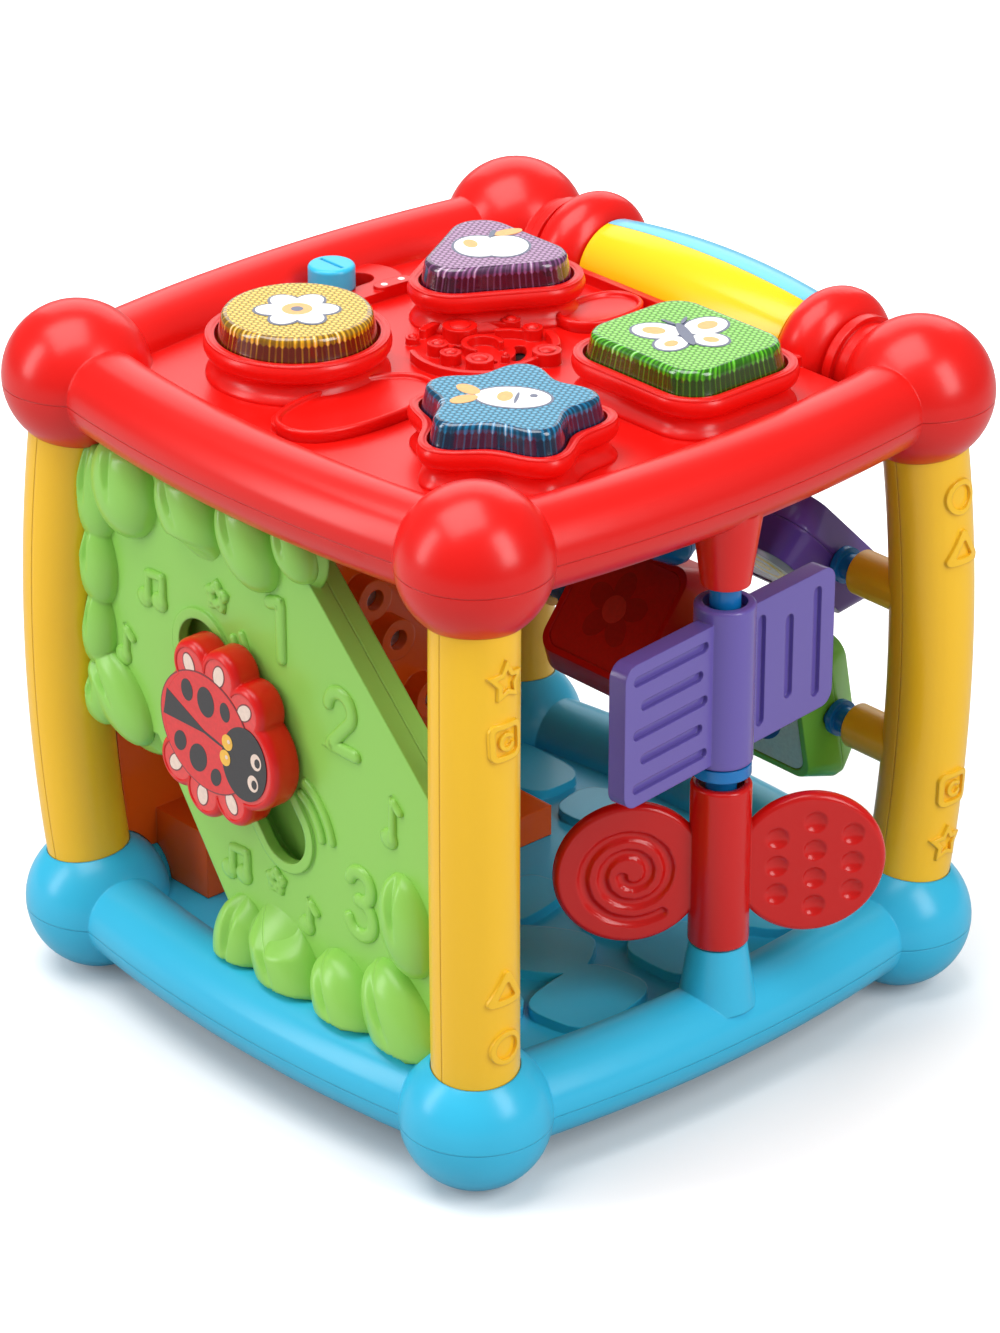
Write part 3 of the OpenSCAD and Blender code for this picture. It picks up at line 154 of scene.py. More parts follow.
def add(tree, kind, inputs, **fields):
    """A new shader node with its fields and inputs set."""
    node = tree.nodes.new(f"ShaderNode{kind}")
    for field, value in fields.items():
        setattr(node, field, value)
    feed(tree, node, inputs)
    return node


def object_place(tree):
    return tree.nodes.new("ShaderNodeTexCoord").outputs["Object"]


def noise(tree, place, scale, detail=2):
    return add(tree, "TexNoise", {"Vector": place, "Scale": scale, "Detail": detail}).outputs["Fac"]


def map_range(tree, value, low, high, start=0, end=1):
    """A value stretched so that low gives start and high gives end."""
    return add(tree, "MapRange", {"Value": value, "From Min": low, "From Max": high,
                                  "To Min": start, "To Max": end}).outputs["Result"]


def maths(tree, operation, one, other):
    """One step of arithmetic on outputs or numbers."""
    return add(tree, "Math", {0: one, 1: other}, operation=operation).outputs["Value"]


def vector_maths(tree, operation, *inputs):
    """One step of arithmetic on vectors; LENGTH gives a plain value."""
    node = add(tree, "VectorMath", dict(enumerate(inputs)), operation=operation)
    return node.outputs["Value" if operation == "LENGTH" else "Vector"]


def colours_along(tree, factor, first, last, middle=None):
    """Colours along a value; each stop is a position and a colour."""
    node = add(tree, "ValToRGB", {"Fac": factor})
    stops = node.color_ramp.elements
    for stop, (position, value) in zip(stops, (first, last)):
        stop.position = position
        stop.color = (*value, 1)
    if middle:
        stops.new(middle[0]).color = (*middle[1], 1)
    return node.outputs["Color"]


def scaled(colour_value, factor):
    return [min(1, c * factor) for c in colour_value]


def paler(colour_value, part):
    return [c + (1 - c) * part for c in colour_value]


def drifting(tree, place, colour_value, scale, low, high):
    """A colour that drifts gently round the given one."""
    return colours_along(tree, noise(tree, place, scale, 1),
                         (0.3, scaled(colour_value, low)), (0.7, scaled(colour_value, high)))


def plastic(name, colour_value, rough=0.3, grain=0.03, coat=0.18, edge=None):
    """Moulded plastic: slight colour drift, uneven gloss, fine grain and softened edges."""
    material, tree, shader = new_material(name)
    place = object_place(tree)
    soft = add(tree, "Bevel", {"Radius": props()[1].edge_round if edge is None else edge}, samples=8)
    bump = add(tree, "Bump", {"Height": noise(tree, place, GRAIN_SCALE), "Strength": grain,
                              "Distance": 0.0004, "Normal": soft.outputs["Normal"]})
    feed(tree, shader, {
        "Base Color": drifting(tree, place, colour_value, DRIFT_SCALE, 0.975, 1.02),
        "Roughness": map_range(tree, noise(tree, place, SMEAR_SCALE), 0.3, 0.7, rough - 0.015, rough + 0.025),
        "Normal": bump.outputs["Normal"],
        "Specular IOR Level": 0.36,
        "Coat Weight": coat,
        "Coat Roughness": 0.2,
    })
    return material


def metal(name, colour_value, rough):
    """Drawn steel with fine turning marks."""
    material, tree, shader = new_material(name)
    place = object_place(tree)
    bump = add(tree, "Bump", {"Height": noise(tree, place, TURNING_SCALE), "Strength": 0.08, "Distance": 0.0003})
    feed(tree, shader, {
        "Base Color": drifting(tree, place, colour_value, STEEL_SCALE, 0.85, 1.08),
        "Normal": bump.outputs["Normal"],
        "Metallic": 1,
        "Roughness": rough,
    })
    return material


def printed(name, colour_value):
    """Ink on a satin label: a fine dot screen and slightly uneven gloss."""
    material, tree, shader = new_material(name)
    place = object_place(tree)
    screen = add(tree, "TexVoronoi", {"Vector": place, "Scale": SCREEN_SCALE})
    feed(tree, shader, {
        "Base Color": drifting(tree, place, colour_value, INK_SCALE, 0.94, 1.04),
        "Roughness": map_range(tree, screen.outputs["Distance"], 0, 1, INK_ROUGH - 0.05, INK_ROUGH + 0.05),
        "Coat Weight": 0.4,
        "Coat Roughness": 0.1,
    })
    return material


def cell_distance(tree, place, pitch):
    """Distance to the nearest point of a six-sided grid in the XY plane, in metres."""
    steps = (pitch, pitch * math.sqrt(3), 1)
    ways = []
    for shift in (0, 0.5):
        grid = add(tree, "Mapping", {"Vector": place, "Scale": (1 / steps[0], 1 / steps[1], 0),
                                     "Location": (shift, shift, 0.5)})
        cell = vector_maths(tree, "FRACTION", grid.outputs["Vector"])
        off = vector_maths(tree, "SUBTRACT", cell, (0.5, 0.5, 0.5))
        ways.append(vector_maths(tree, "LENGTH", vector_maths(tree, "MULTIPLY", off, steps)))
    return maths(tree, "MINIMUM", *ways)


def cap_top(name, colour_value):
    """Clear cap over a plate of small six-sided reflector cells."""
    pitch = props()[1].cell_pitch
    material, tree, shader = new_material(name)
    reach = map_range(tree, cell_distance(tree, object_place(tree), pitch), 0, pitch * CELL_REACH)
    feed(tree, shader, {
        "Base Color": colours_along(tree, reach, (0, paler(colour_value, 0.16)),
                                    (0.92, scaled(colour_value, 0.16)), (0.55, scaled(colour_value, 0.86))),
        "Roughness": map_range(tree, reach, 0, 1, 0.3, 0.5),
        "Coat Weight": 0.4,
        "Coat Roughness": 0.06,
    })
    return material


def cap_side(name, colour_value, wall_shade):
    """Clear tinted wall with upright ribs behind it, carrying painted light: painted shade makes it dark below,
    painted glints light the ribs in patches, and a painted highlight makes it bright where the top catches light.
    """
    material, tree, shader = new_material(name)
    spread = add(tree, "UVMap", {}, uv_map="ribs").outputs["UV"]
    scale = WAVE_UNIT / (props()[1].rib_pitch / MM)
    wave = add(tree, "TexWave", {"Vector": spread, "Scale": scale, "Distortion": 0.8, "Detail": 1},
               wave_type="BANDS", bands_direction="X")
    ribs = wave.outputs["Fac"]
    # Painted glints: noise patches that light up the ribs.
    glint = noise(tree, spread, 0.55)
    glint_patches = map_range(tree, glint, 0.35, 0.75)
    lines = maths(tree, "MULTIPLY", map_range(tree, ribs, 0.72, 1), glint_patches)
    # Painted shade: below the fringe the wall is darkened to the given shade colour.
    wall = colours_along(tree, lines, (0, wall_shade), (0.8, [c * 0.3 + d for c, d in zip(colour_value, wall_shade)]))
    # Painted highlight: the bright fringe where the top of the cap catches light.
    fringe_highlight = colours_along(tree, maths(tree, "MULTIPLY", ribs, glint_patches),
                           (0.05, [c ** 1.6 * 0.25 for c in colour_value]), (0.9, paler(colour_value, 0.45)),
                           (0.5, [c ** 1.4 for c in colour_value]))
    height = add(tree, "SeparateXYZ", {"Vector": spread}).outputs["Y"]
    scallop = maths(tree, "ADD", height, maths(tree, "MULTIPLY", ribs, 0.07))
    mix = add(tree, "Mix", {"Factor": map_range(tree, scallop, 0.70, 0.76), "A": wall, "B": fringe_highlight},
              data_type="RGBA")
    feed(tree, shader, {
        "Base Color": mix.outputs["Result"],
        "Roughness": map_range(tree, glint, 0, 1, 0.16, 0.3),
        "Coat Weight": 1,
        "Coat Roughness": 0.03,
    })
    return material


# Meshes

JOIN_DISTANCE, SHARP_ANGLE = 2e-6, 28


def smooth_group():
    """Node group that joins the loose triangles of a part and shades it smooth up to an angle."""
    name = "moulded_shading"
    if name in bpy.data.node_groups:
        return bpy.data.node_groups[name]
    group = bpy.data.node_groups.new(name, "GeometryNodeTree")
    group.interface.new_socket("Geometry", in_out="INPUT", socket_type="NodeSocketGeometry")
    group.interface.new_socket("Geometry", in_out="OUTPUT", socket_type="NodeSocketGeometry")
    nodes, links = group.nodes, group.links
    start = nodes.new("NodeGroupInput")
    end = nodes.new("NodeGroupOutput")
    join = nodes.new("GeometryNodeMergeByDistance")
    join.inputs["Distance"].default_value = JOIN_DISTANCE
    faces = nodes.new("GeometryNodeSetShadeSmooth")
    faces.domain = "FACE"
    angle = nodes.new("GeometryNodeInputMeshEdgeAngle")
    sharp = nodes.new("FunctionNodeCompare")
    sharp.operation = "GREATER_THAN"
    sharp.inputs["B"].default_value = math.radians(SHARP_ANGLE)
    edges = nodes.new("GeometryNodeSetShadeSmooth")
    edges.domain = "EDGE"
    edges.inputs["Shade Smooth"].default_value = False
    chain = (start, join, faces, edges, end)
    for one, other in zip(chain, chain[1:]):
        links.new(one.outputs["Geometry"], other.inputs["Geometry"])
    links.new(angle.outputs["Unsigned Angle"], sharp.inputs["A"])
    links.new(sharp.outputs["Result"], edges.inputs["Selection"])
    return group


def dress(node, material):
    """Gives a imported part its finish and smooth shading."""
    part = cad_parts[node]
    part.data.materials.clear()
    part.data.materials.append(material)
    shading = part.modifiers.new("moulded_shading", "NODES")
    shading.node_group = smooth_group()
    return part


def make_object(name, bm, materials, body):
    """Turns a bmesh into a finished piece that rides a body."""
    bmesh.ops.recalc_face_normals(bm, faces=bm.faces)
    mesh = bpy.data.meshes.new(name)
    bm.to_mesh(mesh)
    bm.free()
    for material in materials:
        mesh.materials.append(material)
    piece = bpy.data.objects.new(name, mesh)
    bpy.context.scene.collection.objects.link(piece)
    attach(piece, body)
    return piece


def polar(reach, degrees):
    """The point at a distance and an angle from the origin."""
    return reach * math.cos(math.radians(degrees)), reach * math.sin(math.radians(degrees))


def rounded(corners, radius, count):
    """Evenly spaced points round an outline of corner arcs given anticlockwise."""
    path = []
    total = len(corners)
    for i, here in enumerate(corners):
        before = corners[i - 1]
        after = corners[(i + 1) % total]
        first = math.atan2(before[0] - here[0], here[1] - before[1])
        last = math.atan2(here[0] - after[0], after[1] - here[1])
        turn = (last - first) % (2 * math.pi)
        for j in range(25):
            angle = first + turn * j / 24
            path.append((here[0] + radius * math.cos(angle), here[1] + radius * math.sin(angle)))
    return even(path, count)


def even(path, count):
    """The same number of points at equal steps along a closed path."""
    loop = path + [path[0]]
    marks = [0]
    for a, b in zip(loop, loop[1:]):
        marks.append(marks[-1] + math.dist(a, b))
    points, leg = [], 0
    for i in range(count):
        want = marks[-1] * i / count
        while marks[leg + 1] < want:
            leg += 1
        span = marks[leg + 1] - marks[leg]
        t = (want - marks[leg]) / span if span else 0
        points.append((loop[leg][0] + t * (loop[leg + 1][0] - loop[leg][0]),
                       loop[leg][1] + t * (loop[leg + 1][1] - loop[leg][1])))
    return points


def cap_outline(kind, grow, count):
    """Outline of a button cap in millimetres, grown by the given amount."""
    if kind == "round":
        return even([polar(22.4 + grow, angle) for angle in range(0, 360, 2)], count)
    if kind == "triangle":
        return rounded([polar(13.6, angle) for angle in (30, 150, 270)], 10 + grow, count)
    if kind == "square":
        return rounded([(14.4, -10.8), (14.4, 10.8), (-14.4, 10.8), (-14.4, -10.8)], 9.6 + grow, count)
    path = []
    for angle in range(0, 360, 2):
        swell = (1 + math.cos(5 * (math.radians(angle) - math.radians(54)))) / 2
        path.append(polar(19.6 + 6.4 * swell ** 1.15 + grow, angle))
    return even(path, count)


def skin(bm, rings, closed=False):
    """Skins rings of equally many points one after the other; returns each vertex's place in its ring."""
    count = len(rings[0])
    loop = list(bmesh.ops.create_circle(bm, segments=count, radius=1)["verts"])
    first, seat = loop, {}
    for number, ring in enumerate(rings):
        if number:
            new = bmesh.ops.extrude_edge_only(bm, edges=ring_edges(bm, loop))["geom"]
            fresh = {v for v in new if isinstance(v, bmesh.types.BMVert)}
            loop = [next(e.other_vert(vert) for e in vert.link_edges if e.other_vert(vert) in fresh)
                    for vert in loop]
        for i, (vert, point) in enumerate(zip(loop, ring)):
            vert.co = point
            seat[vert] = i
    if closed:
        bmesh.ops.bridge_loops(bm, edges=ring_edges(bm, first) + ring_edges(bm, loop))
    else:
        bm.faces.new(first)
        bm.faces.new(loop)
    for face in bm.faces:
        face.smooth = True
    return seat


def ring_edges(bm, loop):
    return [bm.edges.get((a, b)) for a, b in zip(loop, loop[1:] + loop[:1])]


def turned(bm, profile, axis, closed, steps):
    """Spins a profile of points round an axis through the origin."""
    points = [bm.verts.new(point) for point in profile]
    ahead = points[1:] + points[:1] if closed else points[1:]
    lines = [bm.edges.new(pair) for pair in zip(points, ahead)]
    before = set(bm.verts) - set(points)
    bmesh.ops.spin(bm, geom=points + lines, cent=(0, 0, 0), axis=axis, angle=2 * math.pi, steps=steps,
                   use_merge=True)
    bmesh.ops.remove_doubles(bm, verts=[v for v in bm.verts if v not in before], dist=1e-5)
    return [v for v in bm.verts if v not in before]


def share(value, low, high):
    """0 below low, 1 above high, and evenly between."""
    return min(max((value - low) / (high - low), 0), 1)


def cap_centre(kind):
    low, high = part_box(f"{kind}_dome")
    return (low[0] + high[0]) / 2, (low[1] + high[1]) / 2


def panel_place():
    """Place of the green panel's face: x and z from the cube's middle line and foot, in millimetres."""
    cx, cy = cap_centre("round")
    right, out = PANEL_FROM_ROUND
    return Matrix.Translation((cx + right * MM, cy + out * MM, 0)) @ Matrix.Scale(MM, 4)


def slider_place(level):
    """Place of the slider's middle at a level along Y, its face towards -Y."""
    low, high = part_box("slider_screw")
    return (Matrix.Translation(((low[0] + high[0]) / 2, level, (low[2] + high[2]) / 2))
            @ Matrix.Rotation(math.radians(90), 4, "X") @ Matrix.Rotation(math.radians(SLIDER_LEAN), 4, "Z"))


def layer(bm, place, x, y, rx, ry, turn, level, material, sides=40):
    """One flat oval of print: centre, half widths and turn in millimetres and degrees."""
    depth = props()[1].print_step * (level + 1)
    shape = (place @ Matrix.Translation((x * MM, y * MM, depth / 2))
             @ Matrix.Rotation(math.radians(turn), 4, "Z")
             @ Matrix.Diagonal((rx * MM, ry * MM, 1, 1)))
    done = bmesh.ops.create_cone(bm, cap_ends=True, segments=sides, radius1=1, radius2=1, depth=depth,
                                 matrix=shape)
    for face in {f for v in done["verts"] for f in v.link_faces}:
        face.material_index = material
    return done["verts"]


OUTLINE, WHITE, PEACH = range(3)
OUTLINE_WIDTH = 0.55
FLOWER = [(*polar(4.7, turn), 3.5, 2.7, turn) for turn in range(10, 370, 60)]
APPLE = [(-2.5, 0, 5, 5.6, 8), (2.5, 0, 5, 5.6, -8)]
WINGS = [(-5, 3.2, 4.8, 3.7, 148), (5, 3.2, 4.8, 3.7, 32), (-3.9, -3.6, 3.6, 3, 40), (3.9, -3.6, 3.6, 3, -40)]
FISH = [(1, 0, 7.2, 4.8, 0)]
# Prints of the caps: the filled shape, its accents and its fine lines, as ovals of x, y, half widths and turn.
MOTIFS = {
    "round": (FLOWER, [(0, 0, 3.0, 3.0, 0)], [(0, 0, 1.2, 1.2, 0)]),
    "triangle": (APPLE, [(-4.2, 1.4, 1.4, 2.2, 16), (3.4, 7.6, 3.2, 1.5, 28)], [(0.2, 6.6, 0.6, 2.2, -12)]),
    "square": (WINGS, [(-5.4, 3.4, 2.3, 1.7, 148), (5.4, 3.4, 2.3, 1.7, 32), (-4, -3.8, 1.6, 1.2, 40),
                       (4, -3.8, 1.6, 1.2, -40)],
               [(0, 0, 1.2, 5.6, 0), (-1.6, 6.6, 0.4, 1.9, 32), (1.6, 6.6, 0.4, 1.9, -32)]),
    "star": (FISH, [(-8, 2.4, 2.9, 1.7, -40), (-8, -2.4, 2.9, 1.7, 40), (-0.6, 0.2, 1.5, 2.3, 0)],
             [(4.7, 1.3, 0.75, 0.75, 0), (1.7, -0.2, 0.35, 2.6, 0)]),
}
MOTIF_TURNS = {"round": 40, "triangle": 48, "square": 62, "star": 38}
MOTIF_SCALE = 1.4
# Leaves of the green panel: x, z, length, width, rise and lean, in millimetres and degrees.
LEAVES = [(-9, 36, 32, 20, 7, 0), (11, 38, 38, 23, 8, 34), (36, 37, 32, 22, 8, 36), (58, 40, 38, 24, 7, 36),
          (60, 71, 30, 18, 5, 16), (-70, 155, 30, 17, 4, 4), (-70, 134, 27, 16, 4, 8), (-71, 114, 26, 15, 4, 4),
          (-62, 95, 33, 19, 4, 46), (-70, 93, 20, 15, 4, 12), (-56, 161, 30, 25, 6, 10),
          (-28, 163, 30, 22, 6, 36), (-3, 163, 30, 20, 6, 32), (16, 167, 20, 14, 4, 30)]
# A leaf rises across each pair of bounds: over the base, under the top, in from the sides, off the slider.
LEAF_FOOT, LEAF_HEAD, LEAF_SIDE, LEAF_CLEAR = (31.5, 34.5), (-174.5, -171.5), (-75, -72), (28.2, 36)
FIGURE_HEIGHT = 1.2
# Middles of the ladybird slider along its slot: x and z in millimetres.
SLIDER_STOPS = [(-11.04 + 0.6225 * way, 104.9 - 0.7826 * way) for way in (-21.8, -8, 5, 18, 32.1)]
SLOT_END = (9.13, 79.55)
SLIDER_LEAN = -12
SLIDER_FEET = (-124, -87, -50, 50, 87, 124)
# The panel's middle line and face, from the middle of the round button.
PANEL_FROM_ROUND = (37.5, -46.3)
# Each button's cap colour, and the painted shade of its cap wall in screen values.
BUTTONS = {"round": ("amber", (92, 26, 4)), "triangle": ("violet", (58, 8, 34)),
           "square": ("lime", (40, 66, 8)), "star": ("teal", (16, 30, 58))}


# Plastics: a colour's property or its screen values, the material's name, what differs from plain gloss, parts.
PLASTICS = (
    ("red", "red_plastic_gloss", {},
     ("top_lower_shell", "top_upper_shell", "battery_door", "slider_body", "slider_rear", "tile_ll_front",
      "tile_ll_back")),
    ("spinner_red", "spinner_red_gloss", {"rough": 0.22, "edge": 0.0005}, ("disc_flipper",)),
    ("sky", "sky_plastic_gloss", {}, ("base_lower_shell", "base_upper_shell", "slide_knob")),
    ("roller_sky", "roller_sky_gloss", {"rough": 0.2}, ("roller_back",)),
    ("yellow", "yellow_plastic_satin", {"grain": 0.06},
     [f"{side}_post_{half}" for side in ("front", "right", "left", "back") for half in ("outer", "inner")]),
    ("roller_yellow", "roller_yellow_gloss", {"rough": 0.2}, ("roller_front",)),
    ("green", "green_plastic_satin", {"edge": 0.001}, ("slider_panel_front", "slider_panel_back")),
    ("tile_green", "tile_green_gloss", {}, ("tile_lr_front", "tile_lr_back")),
    ("orange", "orange_plastic_gloss", {"rough": 0.2}, ("rear_panel_front", "rear_panel_back")),
    ("purple", "purple_plastic_satin", {"rough": 0.24, "coat": 0.3, "edge": 0.0005}, ("paddle_flipper",)),
    ("tile_purple", "tile_purple_gloss", {}, ("tile_ur_front", "tile_ur_back")),
    ("blue", "blue_plastic_gloss", {"rough": 0.22},
     ("flipper_shaft", "upper_tile_shaft", "lower_tile_shaft", "tile_ul_front", "tile_ul_back")),
    ("amber", "amber_core", {"rough": 0.2}, ("round_button",)),
    ("violet", "violet_core", {"rough": 0.2}, ("triangle_button",)),
    ("lime", "lime_core", {"rough": 0.2}, ("square_button",)),
    ("teal", "teal_core", {"rough": 0.2}, ("star_button",)),
    ((28, 96, 56), "board_laminate_green", {"rough": 0.42, "grain": 0.15, "coat": 0}, ("circuit_board",)),
    ((236, 240, 242), "led_lens_clear", {"rough": 0.08, "coat": 0.6}, ("leds",)),
    ((26, 26, 28), "speaker_black_cone", {"rough": 0.55, "grain": 0.2, "coat": 0}, ("speaker", "slide_switch")),
    ((206, 206, 200), "silicone_dome_grey", {"rough": 0.6, "grain": 0.1, "coat": 0},
     [f"{kind}_dome" for kind in BUTTONS]),
    ((26, 60, 116), "cell_jacket_blue", {}, ("batteries",)),
)
STEEL = ("base_screws", "top_screws", "door_screw", "battery_contacts", "roller_axle", "slider_screw",
         "rear_panel_screws")


class CUBE_OT_plastics(bpy.types.Operator):
    """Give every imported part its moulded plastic, rubber, board or metal"""
    bl_idname = "cube.plastics"
    bl_label = "Dress the packed parts"

    def execute(self, context):
        tone = props()[0]
        finishes = [(printed("label_red_ink", srgb(232, 62, 60)), ("slider_label",)),
                    (metal("plated_steel", srgb(196, 196, 200), 0.3), STEEL)]
        for tint, name, changes, nodes in PLASTICS:
            value = getattr(tone, tint) if isinstance(tint, str) else srgb(*tint)
            finishes.append((plastic(name, value, **changes), nodes))
        left = set(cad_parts)
        for material, nodes in finishes:
            for node in nodes:
                dress(node, material)
            left -= set(nodes)
        if left:
            raise RuntimeError(f"no finish for {sorted(left)}")
        return {"FINISHED"}


class CUBE_OT_caps(bpy.types.Operator):
    """Build the four lit button caps with their ribbed walls and cell plates"""
    bl_idname = "cube.caps"
    bl_label = "Build the button caps"

    def execute(self, context):
        tone, sizes = props()
        for kind, (tint, wall_shade) in BUTTONS.items():
            self.build(kind, tint, getattr(tone, tint), srgb(*wall_shade), sizes)
        return {"FINISHED"}

    def build(self, kind, tint, colour_value, wall_shade, sizes):
        count = sizes.cap_segments
        low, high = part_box(f"{kind}_button")
        cx, cy = cap_centre(kind)
        foot = high[2] - sizes.cap_height
        fillet = sizes.cap_fillet / MM
        flange = low[2] + 0.0024
        wide, taper, narrow = 0.995, 0.055, 0.94
        rings = [(-1.6, 1, low[2]), (-1.6, 1, flange), (-3.3, 1, flange), (-3.3, 1, foot),
                 (-0.5, 1, foot), (0, wide, foot + 0.0005)]
        shoulder = sizes.cap_height - sizes.cap_fillet
        for i in range(1, 5):
            rings.append((0, wide - taper * i / 4, foot + shoulder * i / 4))
        for i in range(1, 7):
            angle = math.radians(15 * i)
            rings.append((-fillet * (1 - math.cos(angle)), narrow,
                          foot + shoulder + sizes.cap_fillet * math.sin(angle)))
        rings.append((-fillet - 1.2, narrow, high[2]))
        bm = bmesh.new()
        spread = bm.loops.layers.uv.new("ribs")
        seat = skin(bm, [[(cx + x * scale * MM, cy + y * scale * MM, z)
                          for x, y in cap_outline(kind, grow, count)] for grow, scale, z in rings])
        outline = cap_outline(kind, 0, count)
        step = sum(math.dist(a, b) for a, b in zip(outline, outline[1:] + outline[:1])) / count
        for face in bm.faces:
            if min(v.co.z for v in face.verts) > high[2] - 1e-7:
                face.material_index = 1
            if len(face.verts) != 4:
                continue
            wrap = {seat[vert] for vert in face.verts} == {0, count - 1}
            for corner in face.loops:
                mark = count if wrap and seat[corner.vert] == 0 else seat[corner.vert]
                corner[spread].uv = (mark * step, (corner.vert.co.z - foot) / sizes.cap_height)
        piece = make_object(f"{kind}_cap", bm,
                            [cap_side(f"{tint}_ribbed_wall", colour_value, wall_shade),
                             cap_top(f"{tint}_cell_plate", colour_value)],
                            f"{kind}_button_body")
        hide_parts(f"{kind}_button")


class CUBE_OT_collars(bpy.types.Operator):
    """Build the rolled lips round the button wells"""
    bl_idname = "cube.collars"
    bl_label = "Build the button collars"

    def execute(self, context):
        red = bpy.data.materials["red_plastic_gloss"]
        sizes = props()[1]
        plate = sizes.plate_level / MM
        profile = [(3.3, -0.3), (3.15, 0.5), (2.95, 1.0), (1.95, 2.05), (1.3, 2.8), (0.9, 3.7), (0.72, 4.6),
                   (0.74, 5.2), (1.1, 5.65), (2.05, 5.85), (2.5, 6.2), (3.0, 6.8), (3.4, 7.6), (3.6, 8.5),
                   (3.6, 9.4), (3.4, 10.3), (3.0, 11.1), (2.5, 11.6), (1.9, 11.75), (1.3, 11.65), (0.8, 11.35),
                   (0.48, 10.9), (0.4, 10.4), (0.4, 8.2), (0.2, 8.0), (0.2, -0.3)]
        for kind in BUTTONS:
            cx, cy = cap_centre(kind)
            bm = bmesh.new()
            skin(bm, [[(cx + x * MM, cy + y * MM, (plate + z) * MM)
                       for x, y in cap_outline(kind, grow, sizes.cap_segments)] for grow, z in profile],
                 closed=True)
            make_object(f"{kind}_collar", bm, [red], "frame_body")
        return {"FINISHED"}


class CUBE_OT_badges(bpy.types.Operator):
    """Build the two bare oval plates with rolled rims on the top plate"""
    bl_idname = "cube.badges"
    bl_label = "Build the oval plates"

    def execute(self, context):
        red = bpy.data.materials["red_plastic_gloss"]
        plate = props()[1].plate_level / MM
        cx, cy = cap_centre("round")
        rolled = [(0, -0.2), (0, 2.5), (0.12, 3.0), (0.42, 3.36), (0.85, 3.48), (1.28, 3.36), (1.58, 3.0),
                  (1.7, 2.5), (1.78, 2.22), (2.1, 2.12)]
        for name, x, y, wide, long in (("large", 33.0, -7.3, 13.0, 25.7), ("small", 28.2, 87.3, 9.2, 13.7)):
            bm = bmesh.new()
            skin(bm, [[(cx + (x + u) * MM, cy + (y + v) * MM, (plate + z) * MM)
                       for u, v in self.oval(wide - inset, long - inset)] for inset, z in rolled])
            make_object(f"{name}_oval_plate", bm, [red], "frame_body")
        return {"FINISHED"}

    def oval(self, wide, long):
        """An ellipse with slightly fuller ends."""
        fullness = 0.84
        path = []
        for angle in range(360):
            c, s = polar(1, angle)
            path.append((math.copysign(abs(c) ** fullness, c) * wide, math.copysign(abs(s) ** fullness, s) * long))
        return even(path, 128)


class CUBE_OT_domes(bpy.types.Operator):
    """Build the silicone domes under the buttons"""
    bl_idname = "cube.domes"
    bl_label = "Build the button domes"

    def execute(self, context):
        for kind in BUTTONS:
            low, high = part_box(f"{kind}_dome")
            cx, cy = cap_centre(kind)
            tall = (high[2] - low[2]) / MM
            profile = [(0, 0, 0), (5, 0, 0), (5, 0, 0.5), (4.7, 0, 0.8), (4.3, 0, 1.0), (3.5, 0, tall - 1.2),
                       (3.2, 0, tall - 0.9), (3.0, 0, tall - 0.3), (2.7, 0, tall), (0, 0, tall)]
            bm = bmesh.new()
            turned(bm, profile, (0, 0, 1), False, 64)
            place = Matrix.Translation((cx, cy, low[2])) @ Matrix.Scale(MM, 4)
            bmesh.ops.transform(bm, matrix=place, verts=bm.verts)
            piece = make_object(f"{kind}_dome_form", bm, [bpy.data.materials["silicone_dome_grey"]],
                                "frame_body")
            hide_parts(f"{kind}_dome")
            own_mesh(piece)
        return {"FINISHED"}


class CUBE_OT_leaves(bpy.types.Operator):
    """Build the plump leaves of the green panel, each with a crease down its upper half"""
    bl_idname = "cube.leaves"
    bl_label = "Build the leaves"

    def execute(self, context):
        bm = bmesh.new()
        for x, z, long, wide, rise, lean in LEAVES:
            place = Matrix.Translation((x, 0, z)) @ Matrix.Rotation(math.radians(-lean), 4, "Y")
            rings = [self.ring(place, 1, long, wide, None)]
            for i in range(20):
                rings.append(self.ring(place, 1 - i / 20.5, long, wide, rise))
            skin(bm, rings)
        bmesh.ops.transform(bm, matrix=panel_place(), verts=bm.verts)
        make_object("leaf_forms", bm, [bpy.data.materials["green_plastic_satin"]], "frame_body")
        return {"FINISHED"}

    def ring(self, place, size, long, wide, rise):
        """One ring of a leaf at a share of its outline; without a rise it lies inside the panel."""
        points = []
        for i in range(80):
            angle = math.radians(4.5 * i)
            x, v = size * math.cos(angle) * (wide / 2 + 0.2), size * math.sin(angle)
            height = -0.8
            seat = place @ Vector((x, 0, v * (long / 2 + 0.2)))
            if rise:
                top = (rise + 1.6) * (1 - size ** 2.6) ** 0.55
                slit = 1.2 + 1.8 * max(v, 0)
                deep = min(2.2, max(top - rise * (1 - v * v) - 0.1, 0)) * share(v, -0.2, 0.2)
                room = min(math.dist((seat.x, seat.z), stop) for stop in SLIDER_STOPS)
                shown = (share(seat.z, *LEAF_FOOT) * share(-seat.z, *LEAF_HEAD)
                         * share(seat.x, *LEAF_SIDE) * share(-seat.x, *LEAF_SIDE) * share(room, *LEAF_CLEAR))
                height = (top - deep * max(1 - abs(x) / slit, 0)) * shown - 0.5 * (1 - shown)
            points.append((seat.x, -height, seat.z))
        return points


